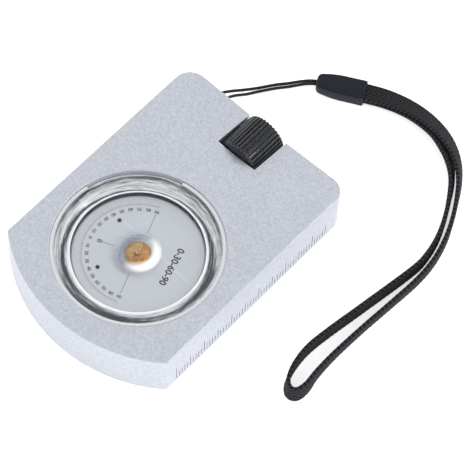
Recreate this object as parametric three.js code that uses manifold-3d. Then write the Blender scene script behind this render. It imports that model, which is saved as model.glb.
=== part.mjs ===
// Hand clinometer: an aluminium block with a liquid-damped pendulum dial in a clear capsule, an eyepiece
// with a ribbed focusing knob, an engraved millimetre edge, and a wrist lanyard.
// Millimetres, +Z up. The origin is the bottom centre of the instrument: X across it, +Y to the eyepiece.

import * as THREE from 'three';
import { mergeVertices } from 'three/addons/utils/BufferGeometryUtils.js';
import Module from 'manifold-3d';

// ---------------------------------------------------------------- driving dimensions

// Housing block
const WIDTH = 53.6;
const LENGTH = 75.9;
const HEIGHT = 14.6;
const NEAR_ARC_RADIUS = 42.9;
const FAR_CORNER_RADIUS = 4.8;
const EDGE_BREAK = 0.35;

// Thumb scoops each side of the eyepiece: where they start, how they fan out, how steeply they drop
const SCOOP_START = 14.3;
const SCOOP_FAN = 0.29;
const SCOOP_SLOPE = 0.139;

// Capsule bore, its ledge and the cover below it
const BORE_RADIUS = 21.55;
const BORE_FROM_NEAR_END = 27.9;
const LEDGE_Z = 1.9;
const LEDGE_WIDTH = 3.0;
const COVER_THICKNESS = 0.7;
const COVER_RECESS = 0.9;
const COVER_SHOULDER = 0.55;
const GASKET_INSET = 0.3;

// Capsule: a clear cup and a clear window, sealed together, held down by a spring clip
const CAPSULE_WALL = 1.45;
const CAPSULE_FLOOR = 1.0;
const CAPSULE_RIM_DEPTH = 0.95;
const CAPSULE_JOINT_Z = 8.85;
const GASKET_THICKNESS = 0.5;
const SEAL_RADIUS = 0.26;
const WINDOW_DEPTH = 2.2;
const WINDOW_THICKNESS = 0.9;
const RIM_WIDTH = 1.1;
const BEVEL_WIDTH = 3.5;
const BEVEL_STEP = 0.25;
const BEVEL_WALL = 0.3;
const DOME_RADIUS = 5.4;
const DOME_HEIGHT = 1.1;
const DOME_WALL = 1.0;
const BOSS_WALL = 0.9;
const BOSS_HEIGHT = 0.65;
const BOSS_FLARE = 0.2;
const JEWEL_SINK = 0.15;
const CLIP_THICKNESS = 0.5;
const CLIP_WIDTH = 1.2;
const CLIP_BITE = 0.4;
const CLIP_OPENING_FROM = 102;
const CLIP_OPENING_TO = 169;
const FILLER_RADIUS = 1.1;
const FILLER_OFFSET = 12;

// Dial: a cup-shaped wheel with a printed face and a scale band, made bottom-heavy by a riveted weight
const DIAL_SIDE_GAP = 3.45;
const DIAL_TOP_GAP = 0.4;
const DIAL_PLATE = 0.6;
const DIAL_RIM_WALL = 0.5;
const DIAL_RIM_HEIGHT = 4.2;
const FACE_THICKNESS = 0.15;
const FACE_INSET = 0.1;
const BAND_THICKNESS = 0.15;
const BAND_INSET = 0.1;
const WEIGHT_SIDE_GAP = 1.4;
const WEIGHT_WIDTH = 6.8;
const WEIGHT_THICKNESS = 1.8;
const WEIGHT_HALF_ANGLE = 55;
const RIVET_INSET = 4.0;
const RIVET_RADIUS = 0.45;
const RIVET_HEAD_OVERHANG = 0.1;
const RIVET_HEAD_HEIGHT = 0.15;
const RIVET_ANGLES = [159, 243];
const HUB_RADIUS = 3.4;
const HUB_BARREL_RADIUS = 1.6;
const HUB_BARREL_LENGTH = 3.2;
const HUB_HEAD = 0.85;
const AXLE_RADIUS = 0.35;
const JEWEL_RADIUS = 0.9;
const JEWEL_THICKNESS = 0.45;
const JEWEL_CONE_RADIUS = 0.45;
const JEWEL_CONE_DEPTH = 0.3;
const PIVOT_CONE = 0.5;
const PIVOT_PLAY = 0.02;
const HAIRLINE_WIDTH = 0.3;
const HAIRLINE_DEPTH = 0.4;
const HAIRLINE_SETBACK = 0.5;

// Eyepiece: a knob turning on a fixed sleeve, and a lens cell that it drives along the sleeve
const KNOB_RADIUS = 5.85;
const KNOB_LENGTH = 11.5;
const KNOB_PROUD = 2.3;
const KNOB_RIBS = 40;
const RIB_DEPTH = 0.35;
const SLOT_CLEARANCE = 0.3;
const SLEEVE_RADIUS = 4.0;
const SLEEVE_WALL = 0.7;
const SPIGOT_RADIUS = 2.8;
const SPIGOT_WALL = 0.5;
const SPIGOT_LENGTH = 6.5;
const FLANGE_PROUD = 0.15;
const FLANGE_THICKNESS = 1.15;
const SLEEVE_SETBACK = 1.1;
const CELL_WALL = 0.55;
const CELL_LENGTH = 4.8;
const CELL_START = 2.4;
const LENS_SETBACK = 1.0;
const LENS_LEDGE = 0.4;
const RETAINER_THICKNESS = 0.6;
const RETAINER_WIDTH = 0.4;
const FOCUS_TRAVEL = 2.0;
const FOCUS_TURN = 300;
const GUIDE_PIN_RADIUS = 0.45;
const GUIDE_PIN_SETBACK = 1.2;
const GROOVE_DEPTH = 0.6;
const GROOVE_CENTRE = 0.25;
const LENS_THICKNESS = 1.5;
const LENS_BULGE = 0.45;
const SNAP_THICKNESS = 0.5;
const SNAP_BITE = 0.35;
const SNAP_PROUD = 0.8;
const SNAP_SETBACK = 0.4;
const COUNTERBORE_WIDTH = 1.0;

// Lanyard: a pin in a pocket of the far face, a thin cord round it, a slider and a woven strap
const POCKET_X = -18.3;
const POCKET_WIDTH = 6.4;
const POCKET_DEPTH = 5.6;
const POCKET_HEIGHT = 6.0;
const POCKET_Z = 5.5;
const PIN_RADIUS = 0.9;
const PIN_SETBACK = 2.9;
const PIN_FOOT_Z = 0.3;
const PIN_TOP_SEAT = 2.0;
const CORD_DIAMETER = 0.8;
const STRAP_WIDTH = 5.0;
const STRAP_THICKNESS = 1.1;
const SLIDER_LENGTH = 13.0;
const SLIDER_WIDTH = 5.8;
const SLIDER_NOSE_WIDTH = 4.2;
const SLIDER_HEIGHT = 4.0;
const SLIDER_EDGE = 0.5;
const STRAP_MOUTH_DEPTH = 4.2;
const CORD_MOUTH_DEPTH = 3.6;
const CORD_MOUTH_GAP = 0.25;
const SLIDER_CENTRE = [1.55, 65.25];
const SLIDER_HEADING = 27.9;

// Engraved edge: millimetre marks on the +X side
const RULE_MILLIMETRES = 55;
const RULE_ZERO_FROM_NEAR_END = 13.0;
const RULE_FOOT_Z = 1.3;
const MARK_WIDTH = 0.22;
const MARK_DEPTH = 0.2;
const MARK_HEIGHTS = { one: 3.0, five: 4.4, ten: 5.7 };

// Fits, and how far a cutting shape runs past what it cuts
const RUNNING_GAP = 0.15;
const SEAT_GAP = 0.1;
const PRESS_GAP = 0.05;
const OVERRUN = 1;

// Steps round a full turn, by size, and along arcs
const ROUND = 48;
const MIDDLE_ROUND = 32;
const SMALL_ROUND = 20;
const PIN_ROUND = 16;
const CORD_ROUND = 8;
const SEAL_ROUND = 6;
const NEAR_ARC_STEPS = 20;
const DOME_STEPS = 4;
const LENS_STEPS = 3;
const GROOVE_STEPS = 36;
const CORD_STEPS = 64;
const STRAP_STEPS = 100;

// ---------------------------------------------------------------- places that follow from them

const halfWidth = WIDTH / 2;
const nearY = -LENGTH / 2;
const farY = LENGTH / 2;
const arcCentreY = nearY + NEAR_ARC_RADIUS;
const sideStartY = arcCentreY - Math.sqrt(NEAR_ARC_RADIUS ** 2 - halfWidth ** 2);
const capsuleY = nearY + BORE_FROM_NEAR_END;
const capsuleRadius = BORE_RADIUS - RUNNING_GAP;
const capsuleInside = capsuleRadius - CAPSULE_WALL;
const rimZ = HEIGHT - CAPSULE_RIM_DEPTH;
const windowZ = HEIGHT - WINDOW_DEPTH;
const ceilingZ = windowZ - WINDOW_THICKNESS;
const windowRadius = capsuleRadius - RIM_WIDTH - BEVEL_WIDTH;
const baseZ = LEDGE_Z + GASKET_THICKNESS + SEAT_GAP;
const floorZ = baseZ + CAPSULE_FLOOR;
const frontJewelZ = windowZ + DOME_HEIGHT - DOME_WALL + JEWEL_THICKNESS / 2 - PRESS_GAP;
const rearJewelZ = floorZ + JEWEL_SINK + JEWEL_THICKNESS / 2 + PRESS_GAP;
const dialRadius = capsuleInside - DIAL_SIDE_GAP;
const dialInside = dialRadius - DIAL_RIM_WALL;
const faceTopZ = ceilingZ - DIAL_TOP_GAP;
const plateTopZ = faceTopZ - FACE_THICKNESS - PRESS_GAP;
const plateLowZ = plateTopZ - DIAL_PLATE;
const dialLowZ = plateTopZ - DIAL_RIM_HEIGHT;
const weightOuter = dialInside - WEIGHT_SIDE_GAP;
const weightAngle = (RIVET_ANGLES[0] + RIVET_ANGLES[1]) / 2;
const rivetOffset = weightOuter - RIVET_INSET;
const slotNearY = farY - KNOB_LENGTH - 2 * SLOT_CLEARANCE;
const slotHalfWidth = KNOB_RADIUS + SLOT_CLEARANCE;
const eyeZ = HEIGHT + KNOB_PROUD - KNOB_RADIUS;
const sleeveInside = SLEEVE_RADIUS - SLEEVE_WALL;
const cellRadius = sleeveInside - RUNNING_GAP;
const cellInside = cellRadius - CELL_WALL;
const pinY = farY - PIN_SETBACK;
const pinTopZ = POCKET_Z + POCKET_HEIGHT / 2 + PIN_TOP_SEAT;

// ---------------------------------------------------------------- solids

const wasm = await Module();
wasm.setup();

function solidOf(geometry) {
  const bare = geometry.clone();
  bare.deleteAttribute('normal');
  bare.deleteAttribute('uv');
  const merged = mergeVertices(bare, 1e-4);
  const corners = merged.index.array;
  const triVerts = [];
  for (let i = 0; i < corners.length; i += 3) {
    const [a, b, c] = [corners[i], corners[i + 1], corners[i + 2]];
    if (a !== b && b !== c && c !== a) triVerts.push(a, b, c);
  }
  return new wasm.Manifold(
    new wasm.Mesh({
      numProp: 3,
      vertProperties: merged.attributes.position.array,
      triVerts: new Uint32Array(triVerts),
    }),
  );
}

function geometryOf(solid) {
  const mesh = solid.getMesh();
  const geometry = new THREE.BufferGeometry();
  geometry.setAttribute('position', new THREE.BufferAttribute(mesh.vertProperties, 3));
  geometry.setIndex(new THREE.BufferAttribute(mesh.triVerts, 1));
  geometry.computeVertexNormals();
  return geometry;
}

const cut = (geometry, tools) =>
  geometryOf(tools.reduce((left, tool) => left.subtract(solidOf(tool)), solidOf(geometry)));

// A solid of revolution about Z. The profile runs [radius, z], with the solid on its left.
function turned(profile, segments = ROUND) {
  const points = profile.map(([radius, z]) => new THREE.Vector2(radius, z));
  const geometry = new THREE.LatheGeometry(points, segments).rotateX(Math.PI / 2);
  return geometryOf(solidOf(geometry));
}

const ring = (inner, outer, low, high, segments = ROUND) =>
  turned([[inner, low], [outer, low], [outer, high], [inner, high], [inner, low]], segments);

const rod = (radius, low, high, segments = SMALL_ROUND) =>
  new THREE.CylinderGeometry(radius, radius, high - low, segments)
    .rotateX(Math.PI / 2)
    .translate(0, 0, (low + high) / 2);

const block = (x0, x1, y0, y1, z0, z1) =>
  new THREE.BoxGeometry(x1 - x0, y1 - y0, z1 - z0)
    .translate((x0 + x1) / 2, (y0 + y1) / 2, (z0 + z1) / 2);

// A flat plate of the given outline, with its edges broken at both faces
function plate(shape, low, high, edge, curveSegments = 12) {
  return new THREE.ExtrudeGeometry(shape, {
    depth: high - low - 2 * edge,
    bevelEnabled: edge > 0,
    bevelThickness: edge,
    bevelSize: edge,
    bevelOffset: -edge,
    bevelSegments: 1,
    curveSegments,
  }).translate(0, 0, low + edge);
}

function sector(inner, outer, fromDegrees, toDegrees, low, high) {
  const from = THREE.MathUtils.degToRad(fromDegrees);
  const to = THREE.MathUtils.degToRad(toDegrees);
  const shape = new THREE.Shape();
  shape.absarc(0, 0, outer, from, to, false);
  shape.absarc(0, 0, inner, to, from, true);
  shape.closePath();
  return plate(shape, low, high, 0, 24);
}

const aboutAxis = (radius, degrees) => {
  const angle = THREE.MathUtils.degToRad(degrees);
  return [radius * Math.cos(angle), radius * Math.sin(angle)];
};

// ---------------------------------------------------------------- scene graph

const FINISHES = {
  blasted_aluminium: { color: 0xc9cbd3, roughness: 0.55, metalness: 0.8 },
  clear_acrylic: { color: 0xe8eef2, roughness: 0.05, metalness: 0, transparent: true, opacity: 0.3 },
  white_acrylic: { color: 0xe6e8ec, roughness: 0.35, metalness: 0 },
  dial_silver: { color: 0xd5d9e0, roughness: 0.4, metalness: 0.3 },
  brass: { color: 0xc98a2c, roughness: 0.3, metalness: 0.9 },
  steel: { color: 0x9a9da3, roughness: 0.3, metalness: 1 },
  black_anodised: { color: 0x1c1e24, roughness: 0.5, metalness: 0.4 },
  knob_plastic: { color: 0x16181e, roughness: 0.4, metalness: 0 },
  rubber: { color: 0x202124, roughness: 0.8, metalness: 0 },
  jewel: { color: 0xd9822b, roughness: 0.08, metalness: 0 },
  lens_glass: { color: 0xdde8ee, roughness: 0.02, metalness: 0, transparent: true, opacity: 0.35 },
  cord_black: { color: 0x1b1b1f, roughness: 0.85, metalness: 0 },
  strap_black: { color: 0x1e1f25, roughness: 0.9, metalness: 0 },
  slider_plastic: { color: 0x26292f, roughness: 0.5, metalness: 0 },
};

function addPiece(parent, name, geometry, finish, position = [0, 0, 0]) {
  const mesh = new THREE.Mesh(geometry, new THREE.MeshStandardMaterial(FINISHES[finish]));
  mesh.name = name;
  mesh.position.set(...position);
  parent.add(mesh);
  return mesh;
}

function addGroup(parent, position = [0, 0, 0]) {
  const group = new THREE.Group();
  group.position.set(...position);
  parent.add(group);
  return group;
}

const clinometer = new THREE.Group();

// ---------------------------------------------------------------- housing

function housingOutline() {
  const corner = FAR_CORNER_RADIUS;
  const arcHalfAngle = Math.asin(halfWidth / NEAR_ARC_RADIUS);
  const shape = new THREE.Shape();
  shape.absarc(halfWidth - corner, farY - corner, corner, 0, Math.PI / 2, false);
  shape.absarc(corner - halfWidth, farY - corner, corner, Math.PI / 2, Math.PI, false);
  shape.lineTo(-halfWidth, sideStartY);
  for (let i = 1; i <= NEAR_ARC_STEPS; i += 1) {
    const angle = arcHalfAngle * ((2 * i) / NEAR_ARC_STEPS - 1);
    shape.lineTo(NEAR_ARC_RADIUS * Math.sin(angle), arcCentreY - NEAR_ARC_RADIUS * Math.cos(angle));
  }
  shape.closePath();
  return shape;
}

// Everything above a plane that leaves the top face along a fanned-out line and drops to the far edge
function scoopTool(side) {
  const along = new THREE.Vector3(side, SCOOP_FAN, 0).normalize();
  const up = new THREE.Vector3(-side * SCOOP_SLOPE * SCOOP_FAN, SCOOP_SLOPE, 1).normalize();
  const across = new THREE.Vector3().crossVectors(up, along);
  const place = new THREE.Matrix4().makeBasis(along, across, up);
  place.setPosition(0, farY - SCOOP_START, HEIGHT);
  return block(0, WIDTH, -LENGTH, LENGTH, 0, HEIGHT).applyMatrix4(place);
}

function ruleMarks() {
  const floor = halfWidth - MARK_DEPTH;
  const marks = [];
  for (let i = 0; i <= RULE_MILLIMETRES; i += 1) {
    const kind = i % 10 === 0 ? 'ten' : i % 5 === 0 ? 'five' : 'one';
    const y = nearY + RULE_ZERO_FROM_NEAR_END + i;
    const top = RULE_FOOT_Z + MARK_HEIGHTS[kind];
    marks.push(
      block(floor, halfWidth + OVERRUN, y - MARK_WIDTH / 2, y + MARK_WIDTH / 2, RULE_FOOT_Z, top),
    );
  }
  return marks;
}

function makeHousing() {
  const body = plate(housingOutline(), 0, HEIGHT, EDGE_BREAK);
  const over = HEIGHT + OVERRUN;
  const bored = (radius, low, high) => rod(radius, low, high, ROUND).translate(0, capsuleY, 0);
  const bore = bored(BORE_RADIUS, LEDGE_Z, over);
  const ledgeHole = bored(BORE_RADIUS - LEDGE_WIDTH, -OVERRUN, over);
  const coverSeat = bored(BORE_RADIUS - COVER_SHOULDER, -OVERRUN, COVER_RECESS);
  const grooveTop = rimZ + CLIP_THICKNESS + 2 * SEAT_GAP;
  const clipGroove = bored(BORE_RADIUS + CLIP_BITE + SEAT_GAP, rimZ, grooveTop);
  const slot = block(
    -slotHalfWidth, slotHalfWidth,
    slotNearY, farY + OVERRUN,
    eyeZ - slotHalfWidth, over + KNOB_RADIUS,
  );
  const sightBore = rod(SPIGOT_RADIUS + SEAT_GAP, capsuleY, slotNearY + OVERRUN)
    .rotateX(-Math.PI / 2)
    .translate(0, 0, eyeZ);
  const pocket = block(
    POCKET_X - POCKET_WIDTH / 2, POCKET_X + POCKET_WIDTH / 2,
    farY - POCKET_DEPTH, farY + OVERRUN,
    POCKET_Z - POCKET_HEIGHT / 2, POCKET_Z + POCKET_HEIGHT / 2,
  );
  const pinHole = rod(PIN_RADIUS + SEAT_GAP, -OVERRUN, pinTopZ + SEAT_GAP).translate(POCKET_X, pinY, 0);
  const tools = [bore, ledgeHole, coverSeat, clipGroove, slot, sightBore, pocket, pinHole];
  return cut(body, [...tools, scoopTool(1), scoopTool(-1), ...ruleMarks()]);
}

addPiece(clinometer, 'housing', makeHousing(), 'blasted_aluminium');

// ---------------------------------------------------------------- capsule

const capsule = addGroup(clinometer, [0, capsuleY, 0]);

function domeProfile() {
  const arc = (DOME_RADIUS ** 2 + DOME_HEIGHT ** 2) / (2 * DOME_HEIGHT);
  const halfAngle = Math.asin(DOME_RADIUS / arc);
  const points = [];
  for (let i = DOME_STEPS; i >= 0; i -= 1) {
    const angle = (halfAngle * i) / DOME_STEPS;
    points.push([arc * Math.sin(angle), windowZ + DOME_HEIGHT - arc * (1 - Math.cos(angle))]);
  }
  return points;
}

function makeWindow() {
  const cavityRadius = DOME_RADIUS - DOME_WALL;
  const cavityZ = windowZ + DOME_HEIGHT - DOME_WALL;
  const jewelSeatZ = cavityZ + JEWEL_THICKNESS;
  const skirtZ = CAPSULE_JOINT_Z + SEAL_RADIUS + PRESS_GAP;
  const bevelTopZ = rimZ - PRESS_GAP;
  const stepZ = (windowZ + bevelTopZ) / 2;
  const stepRadius = windowRadius + BEVEL_WIDTH / 2;
  return turned([
    [0, jewelSeatZ],
    [JEWEL_RADIUS + PRESS_GAP, jewelSeatZ],
    [JEWEL_RADIUS + PRESS_GAP, cavityZ],
    [cavityRadius, cavityZ],
    [cavityRadius, ceilingZ],
    [windowRadius + 2 * BEVEL_WALL, ceilingZ],
    [capsuleInside, stepZ - BEVEL_WALL],
    [capsuleInside, skirtZ],
    [capsuleRadius, skirtZ],
    [capsuleRadius, bevelTopZ],
    [windowRadius + BEVEL_WIDTH, bevelTopZ],
    [stepRadius, stepZ + BEVEL_STEP / 2],
    [stepRadius, stepZ - BEVEL_STEP / 2],
    [windowRadius, windowZ],
    ...domeProfile(),
  ]);
}

function makeBase() {
  const top = CAPSULE_JOINT_Z - SEAL_RADIUS - PRESS_GAP;
  const bossTop = floorZ + BOSS_HEIGHT;
  const bossRadius = JEWEL_RADIUS + BOSS_WALL;
  const cup = turned([
    [0, baseZ],
    [capsuleRadius, baseZ],
    [capsuleRadius, top],
    [capsuleInside, top],
    [capsuleInside, floorZ],
    [bossRadius + BOSS_FLARE, floorZ],
    [bossRadius, bossTop],
    [JEWEL_RADIUS + PRESS_GAP, bossTop],
    [JEWEL_RADIUS + PRESS_GAP, floorZ + JEWEL_SINK],
    [0, floorZ + JEWEL_SINK],
  ]);
  const fillerHole = rod(FILLER_RADIUS + PRESS_GAP, baseZ - OVERRUN, floorZ + OVERRUN)
    .translate(-FILLER_OFFSET, 0, 0);
  return cut(cup, [fillerHole]);
}

// A jewel cup: a short cylinder with a conical pocket. open is +1 for a pocket that faces up.
function makeJewel(middleZ, open) {
  const seat = middleZ - (open * JEWEL_THICKNESS) / 2;
  const mouth = middleZ + (open * JEWEL_THICKNESS) / 2;
  const profile = [
    [0, seat],
    [JEWEL_RADIUS, seat],
    [JEWEL_RADIUS, mouth],
    [JEWEL_CONE_RADIUS, mouth],
    [0, mouth - open * JEWEL_CONE_DEPTH],
  ];
  return turned(open > 0 ? profile : profile.reverse(), SMALL_ROUND);
}

function makeCover() {
  const top = COVER_RECESS - SEAT_GAP;
  return rod(BORE_RADIUS - COVER_SHOULDER - RUNNING_GAP, top - COVER_THICKNESS, top, ROUND);
}

function makeGasket() {
  const inner = BORE_RADIUS - LEDGE_WIDTH + GASKET_INSET;
  return ring(inner, capsuleRadius - GASKET_INSET, LEDGE_Z + PRESS_GAP, LEDGE_Z + GASKET_THICKNESS);
}

function makeSeal() {
  const torus = new THREE.TorusGeometry(capsuleRadius - CAPSULE_WALL / 2, SEAL_RADIUS, SEAL_ROUND, ROUND);
  return geometryOf(solidOf(torus));
}

// A spring ring of flat wire, open between its two ends
function makeClip() {
  const outer = BORE_RADIUS + CLIP_BITE;
  const low = rimZ + SEAT_GAP;
  const end = CLIP_OPENING_FROM + 360;
  return sector(outer - CLIP_WIDTH, outer, CLIP_OPENING_TO, end, low, low + CLIP_THICKNESS);
}

function makeHairline() {
  const outerY = capsuleInside - HAIRLINE_SETBACK;
  return block(
    -HAIRLINE_WIDTH / 2, HAIRLINE_WIDTH / 2,
    outerY - HAIRLINE_DEPTH, outerY,
    floorZ + PRESS_GAP, ceilingZ - SEAT_GAP,
  );
}

addPiece(capsule, 'capsule_cover', makeCover(), 'black_anodised');
addPiece(capsule, 'capsule_gasket', makeGasket(), 'rubber');
addPiece(capsule, 'capsule_base', makeBase(), 'white_acrylic');
addPiece(capsule, 'filler_plug', rod(FILLER_RADIUS - PRESS_GAP, baseZ + PRESS_GAP, floorZ), 'rubber',
  [-FILLER_OFFSET, 0, 0]);
addPiece(capsule, 'capsule_seal', makeSeal(), 'rubber', [0, 0, CAPSULE_JOINT_Z]);
addPiece(capsule, 'capsule_window', makeWindow(), 'clear_acrylic');
addPiece(capsule, 'capsule_clip', makeClip(), 'steel');
addPiece(capsule, 'front_jewel', makeJewel(frontJewelZ, -1), 'jewel');
addPiece(capsule, 'rear_jewel', makeJewel(rearJewelZ, 1), 'jewel');
addPiece(capsule, 'index_hairline', makeHairline(), 'steel');

// ---------------------------------------------------------------- dial

const dial = addGroup(capsule);
const hubBore = HUB_BARREL_RADIUS + SEAT_GAP;

const rivetHoles = (low, high) =>
  RIVET_ANGLES.map((degrees) =>
    rod(RIVET_RADIUS + SEAT_GAP, low - OVERRUN, high + OVERRUN, PIN_ROUND)
      .translate(...aboutAxis(rivetOffset, degrees), 0));

function makeWheel() {
  const cup = turned([
    [hubBore, plateLowZ],
    [dialInside, plateLowZ],
    [dialInside, dialLowZ],
    [dialRadius, dialLowZ],
    [dialRadius, plateTopZ],
    [hubBore, plateTopZ],
    [hubBore, plateLowZ],
  ]);
  return cut(cup, rivetHoles(plateLowZ, plateTopZ));
}

function makeFace() {
  const low = faceTopZ - FACE_THICKNESS;
  return cut(ring(hubBore, dialRadius - FACE_INSET, low, faceTopZ), rivetHoles(low, faceTopZ));
}

function makeBand() {
  const inner = dialRadius + PRESS_GAP;
  return ring(inner, inner + BAND_THICKNESS, dialLowZ + BAND_INSET, plateTopZ - BAND_INSET);
}

function makeWeight() {
  const top = plateLowZ - PRESS_GAP;
  const low = top - WEIGHT_THICKNESS;
  const from = weightAngle - WEIGHT_HALF_ANGLE;
  const to = weightAngle + WEIGHT_HALF_ANGLE;
  return cut(sector(weightOuter - WEIGHT_WIDTH, weightOuter, from, to, low, top), rivetHoles(low, top));
}

function makeRivet() {
  const foot = plateLowZ - WEIGHT_THICKNESS;
  const seat = faceTopZ + PRESS_GAP;
  const headRadius = RIVET_RADIUS + RIVET_HEAD_OVERHANG;
  return turned([
    [0, foot],
    [RIVET_RADIUS, foot],
    [RIVET_RADIUS, seat],
    [headRadius, seat],
    [headRadius - RIVET_HEAD_OVERHANG / 2, seat + RIVET_HEAD_HEIGHT],
    [0, seat + RIVET_HEAD_HEIGHT],
  ], PIN_ROUND);
}

function makeHub() {
  const shoulder = faceTopZ + PRESS_GAP;
  const foot = shoulder - HUB_BARREL_LENGTH;
  const bore = AXLE_RADIUS + PRESS_GAP;
  return turned([
    [bore, foot],
    [HUB_BARREL_RADIUS, foot],
    [HUB_BARREL_RADIUS, shoulder],
    [HUB_RADIUS, shoulder],
    [HUB_RADIUS, shoulder + HUB_HEAD * 0.4],
    [HUB_RADIUS * 0.85, shoulder + HUB_HEAD * 0.75],
    [HUB_RADIUS * 0.55, shoulder + HUB_HEAD],
    [bore, shoulder + HUB_HEAD],
    [bore, foot],
  ], MIDDLE_ROUND);
}

function makeAxle() {
  const low = rearJewelZ - PIVOT_PLAY;
  const high = frontJewelZ + PIVOT_PLAY;
  return turned([
    [0, low],
    [AXLE_RADIUS, low + PIVOT_CONE],
    [AXLE_RADIUS, high - PIVOT_CONE],
    [0, high],
  ], PIN_ROUND);
}

addPiece(dial, 'dial_wheel', makeWheel(), 'dial_silver');
addPiece(dial, 'dial_face', makeFace(), 'dial_silver');
addPiece(dial, 'dial_scale_band', makeBand(), 'dial_silver');
addPiece(dial, 'dial_weight', makeWeight(), 'brass');
addPiece(dial, 'dial_hub', makeHub(), 'brass');
addPiece(dial, 'dial_axle', makeAxle(), 'steel');
RIVET_ANGLES.forEach((degrees, i) => {
  const place = [...aboutAxis(rivetOffset, degrees), 0];
  addPiece(dial, `dial_rivet_${i + 1}`, makeRivet(), 'black_anodised', place);
});

// ---------------------------------------------------------------- eyepiece
// Its own frame: +Z runs out along the optical axis, +Y points down, and z = 0 is the slot's near wall.

const eyepiece = addGroup(clinometer, [0, slotNearY, eyeZ]);
eyepiece.rotation.x = -Math.PI / 2;

const knobStart = SLOT_CLEARANCE;
const knobEnd = knobStart + KNOB_LENGTH;
const sleeveEnd = knobEnd - SLEEVE_SETBACK;
const snapZ = sleeveEnd - SNAP_SETBACK - SNAP_THICKNESS;
const counterboreZ = snapZ - SEAT_GAP;
const guideZ = CELL_START + GUIDE_PIN_SETBACK;
const cellEnd = CELL_START + CELL_LENGTH;
const lensSeatZ = cellEnd - LENS_SETBACK - LENS_THICKNESS;

function ribbedOutline() {
  const shape = new THREE.Shape();
  const pitch = (2 * Math.PI) / KNOB_RIBS;
  const corners = [[-0.3, 0], [0.3, 0], [0.42, RIB_DEPTH], [0.58, RIB_DEPTH]]; // share of a pitch, depth
  for (let i = 0; i < KNOB_RIBS; i += 1) {
    for (const [share, depth] of corners) {
      const angle = pitch * (i + share);
      const radius = KNOB_RADIUS - depth;
      const point = [radius * Math.cos(angle), radius * Math.sin(angle)];
      if (i === 0 && share === corners[0][0]) shape.moveTo(...point);
      else shape.lineTo(...point);
    }
  }
  shape.closePath();
  return shape;
}

// The groove in the knob's bore that the guide pin follows: one turn of the knob is one lead along the axis
function focusGroove() {
  const points = [];
  const endAngle = 12;
  const section = circleSection(GUIDE_PIN_RADIUS + SLOT_CLEARANCE + PRESS_GAP, CORD_ROUND);
  for (let i = 0; i <= GROOVE_STEPS; i += 1) {
    const turnedBy = -endAngle + ((FOCUS_TURN + 2 * endAngle) * i) / GROOVE_STEPS;
    const along = guideZ + (FOCUS_TRAVEL * turnedBy) / FOCUS_TURN;
    points.push(new THREE.Vector3(...aboutAxis(SLEEVE_RADIUS + GROOVE_CENTRE, 90 - turnedBy), along));
  }
  const path = new THREE.CatmullRomCurve3(points);
  return new THREE.ExtrudeGeometry(section, { steps: GROOVE_STEPS, extrudePath: path });
}

function circleSection(radius, sides) {
  const corners = [];
  for (let i = 0; i < sides; i += 1) {
    corners.push(new THREE.Vector2(...aboutAxis(radius, (360 * (i + 0.5)) / sides)));
  }
  return new THREE.Shape(corners);
}

function makeKnob() {
  const body = plate(ribbedOutline(), knobStart, knobEnd, 0, 1);
  const over = knobEnd + OVERRUN;
  const bore = rod(SLEEVE_RADIUS + RUNNING_GAP, -OVERRUN, over, MIDDLE_ROUND);
  const counterbore = rod(SLEEVE_RADIUS + COUNTERBORE_WIDTH, counterboreZ, over, MIDDLE_ROUND);
  return cut(body, [bore, counterbore, focusGroove()]);
}

function makeSleeve() {
  const spigotInside = SPIGOT_RADIUS - SPIGOT_WALL;
  const grooveRadius = SLEEVE_RADIUS - SNAP_BITE;
  const grooveLowZ = snapZ - PRESS_GAP;
  const grooveHighZ = snapZ + SNAP_THICKNESS + PRESS_GAP;
  const tube = turned([
    [spigotInside, -SPIGOT_LENGTH],
    [SPIGOT_RADIUS, -SPIGOT_LENGTH],
    [SPIGOT_RADIUS, FLANGE_PROUD],
    [SLEEVE_RADIUS, FLANGE_PROUD],
    [SLEEVE_RADIUS, grooveLowZ],
    [grooveRadius, grooveLowZ],
    [grooveRadius, grooveHighZ],
    [SLEEVE_RADIUS, grooveHighZ],
    [SLEEVE_RADIUS, sleeveEnd],
    [sleeveInside, sleeveEnd],
    [sleeveInside, FLANGE_THICKNESS],
    [spigotInside, FLANGE_THICKNESS],
    [spigotInside, -SPIGOT_LENGTH],
  ], MIDDLE_ROUND);
  const halfSlot = GUIDE_PIN_RADIUS + RUNNING_GAP;
  const keyway = block(
    -halfSlot, halfSlot,
    0, SLEEVE_RADIUS + OVERRUN,
    guideZ - halfSlot, guideZ + FOCUS_TRAVEL + halfSlot,
  );
  return cut(tube, [keyway]);
}

function makeCell() {
  const ledgeRadius = cellInside - LENS_LEDGE;
  const tube = turned([
    [ledgeRadius, CELL_START],
    [cellRadius, CELL_START],
    [cellRadius, cellEnd],
    [cellInside, cellEnd],
    [cellInside, lensSeatZ],
    [ledgeRadius, lensSeatZ],
    [ledgeRadius, CELL_START],
  ], MIDDLE_ROUND);
  const pinHole = rod(GUIDE_PIN_RADIUS + PRESS_GAP, 0, cellRadius + OVERRUN, PIN_ROUND)
    .rotateX(-Math.PI / 2)
    .translate(0, 0, guideZ);
  return cut(tube, [pinHole]);
}

function makeLens() {
  const radius = cellInside - SEAT_GAP;
  const middle = lensSeatZ + LENS_THICKNESS / 2 + PRESS_GAP;
  const bulged = (from, to) => {
    const points = [];
    for (let i = 0; i <= LENS_STEPS; i += 1) {
      const share = from + ((to - from) * i) / LENS_STEPS;
      points.push([radius * share, LENS_BULGE * (1 - share ** 2)]);
    }
    return points;
  };
  const half = LENS_THICKNESS / 2 - LENS_BULGE;
  const back = bulged(0, 1).map(([r, bulge]) => [r, middle - half - bulge]);
  const front = bulged(1, 0).map(([r, bulge]) => [r, middle + half + bulge]);
  return turned([...back, ...front], SMALL_ROUND);
}

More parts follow.
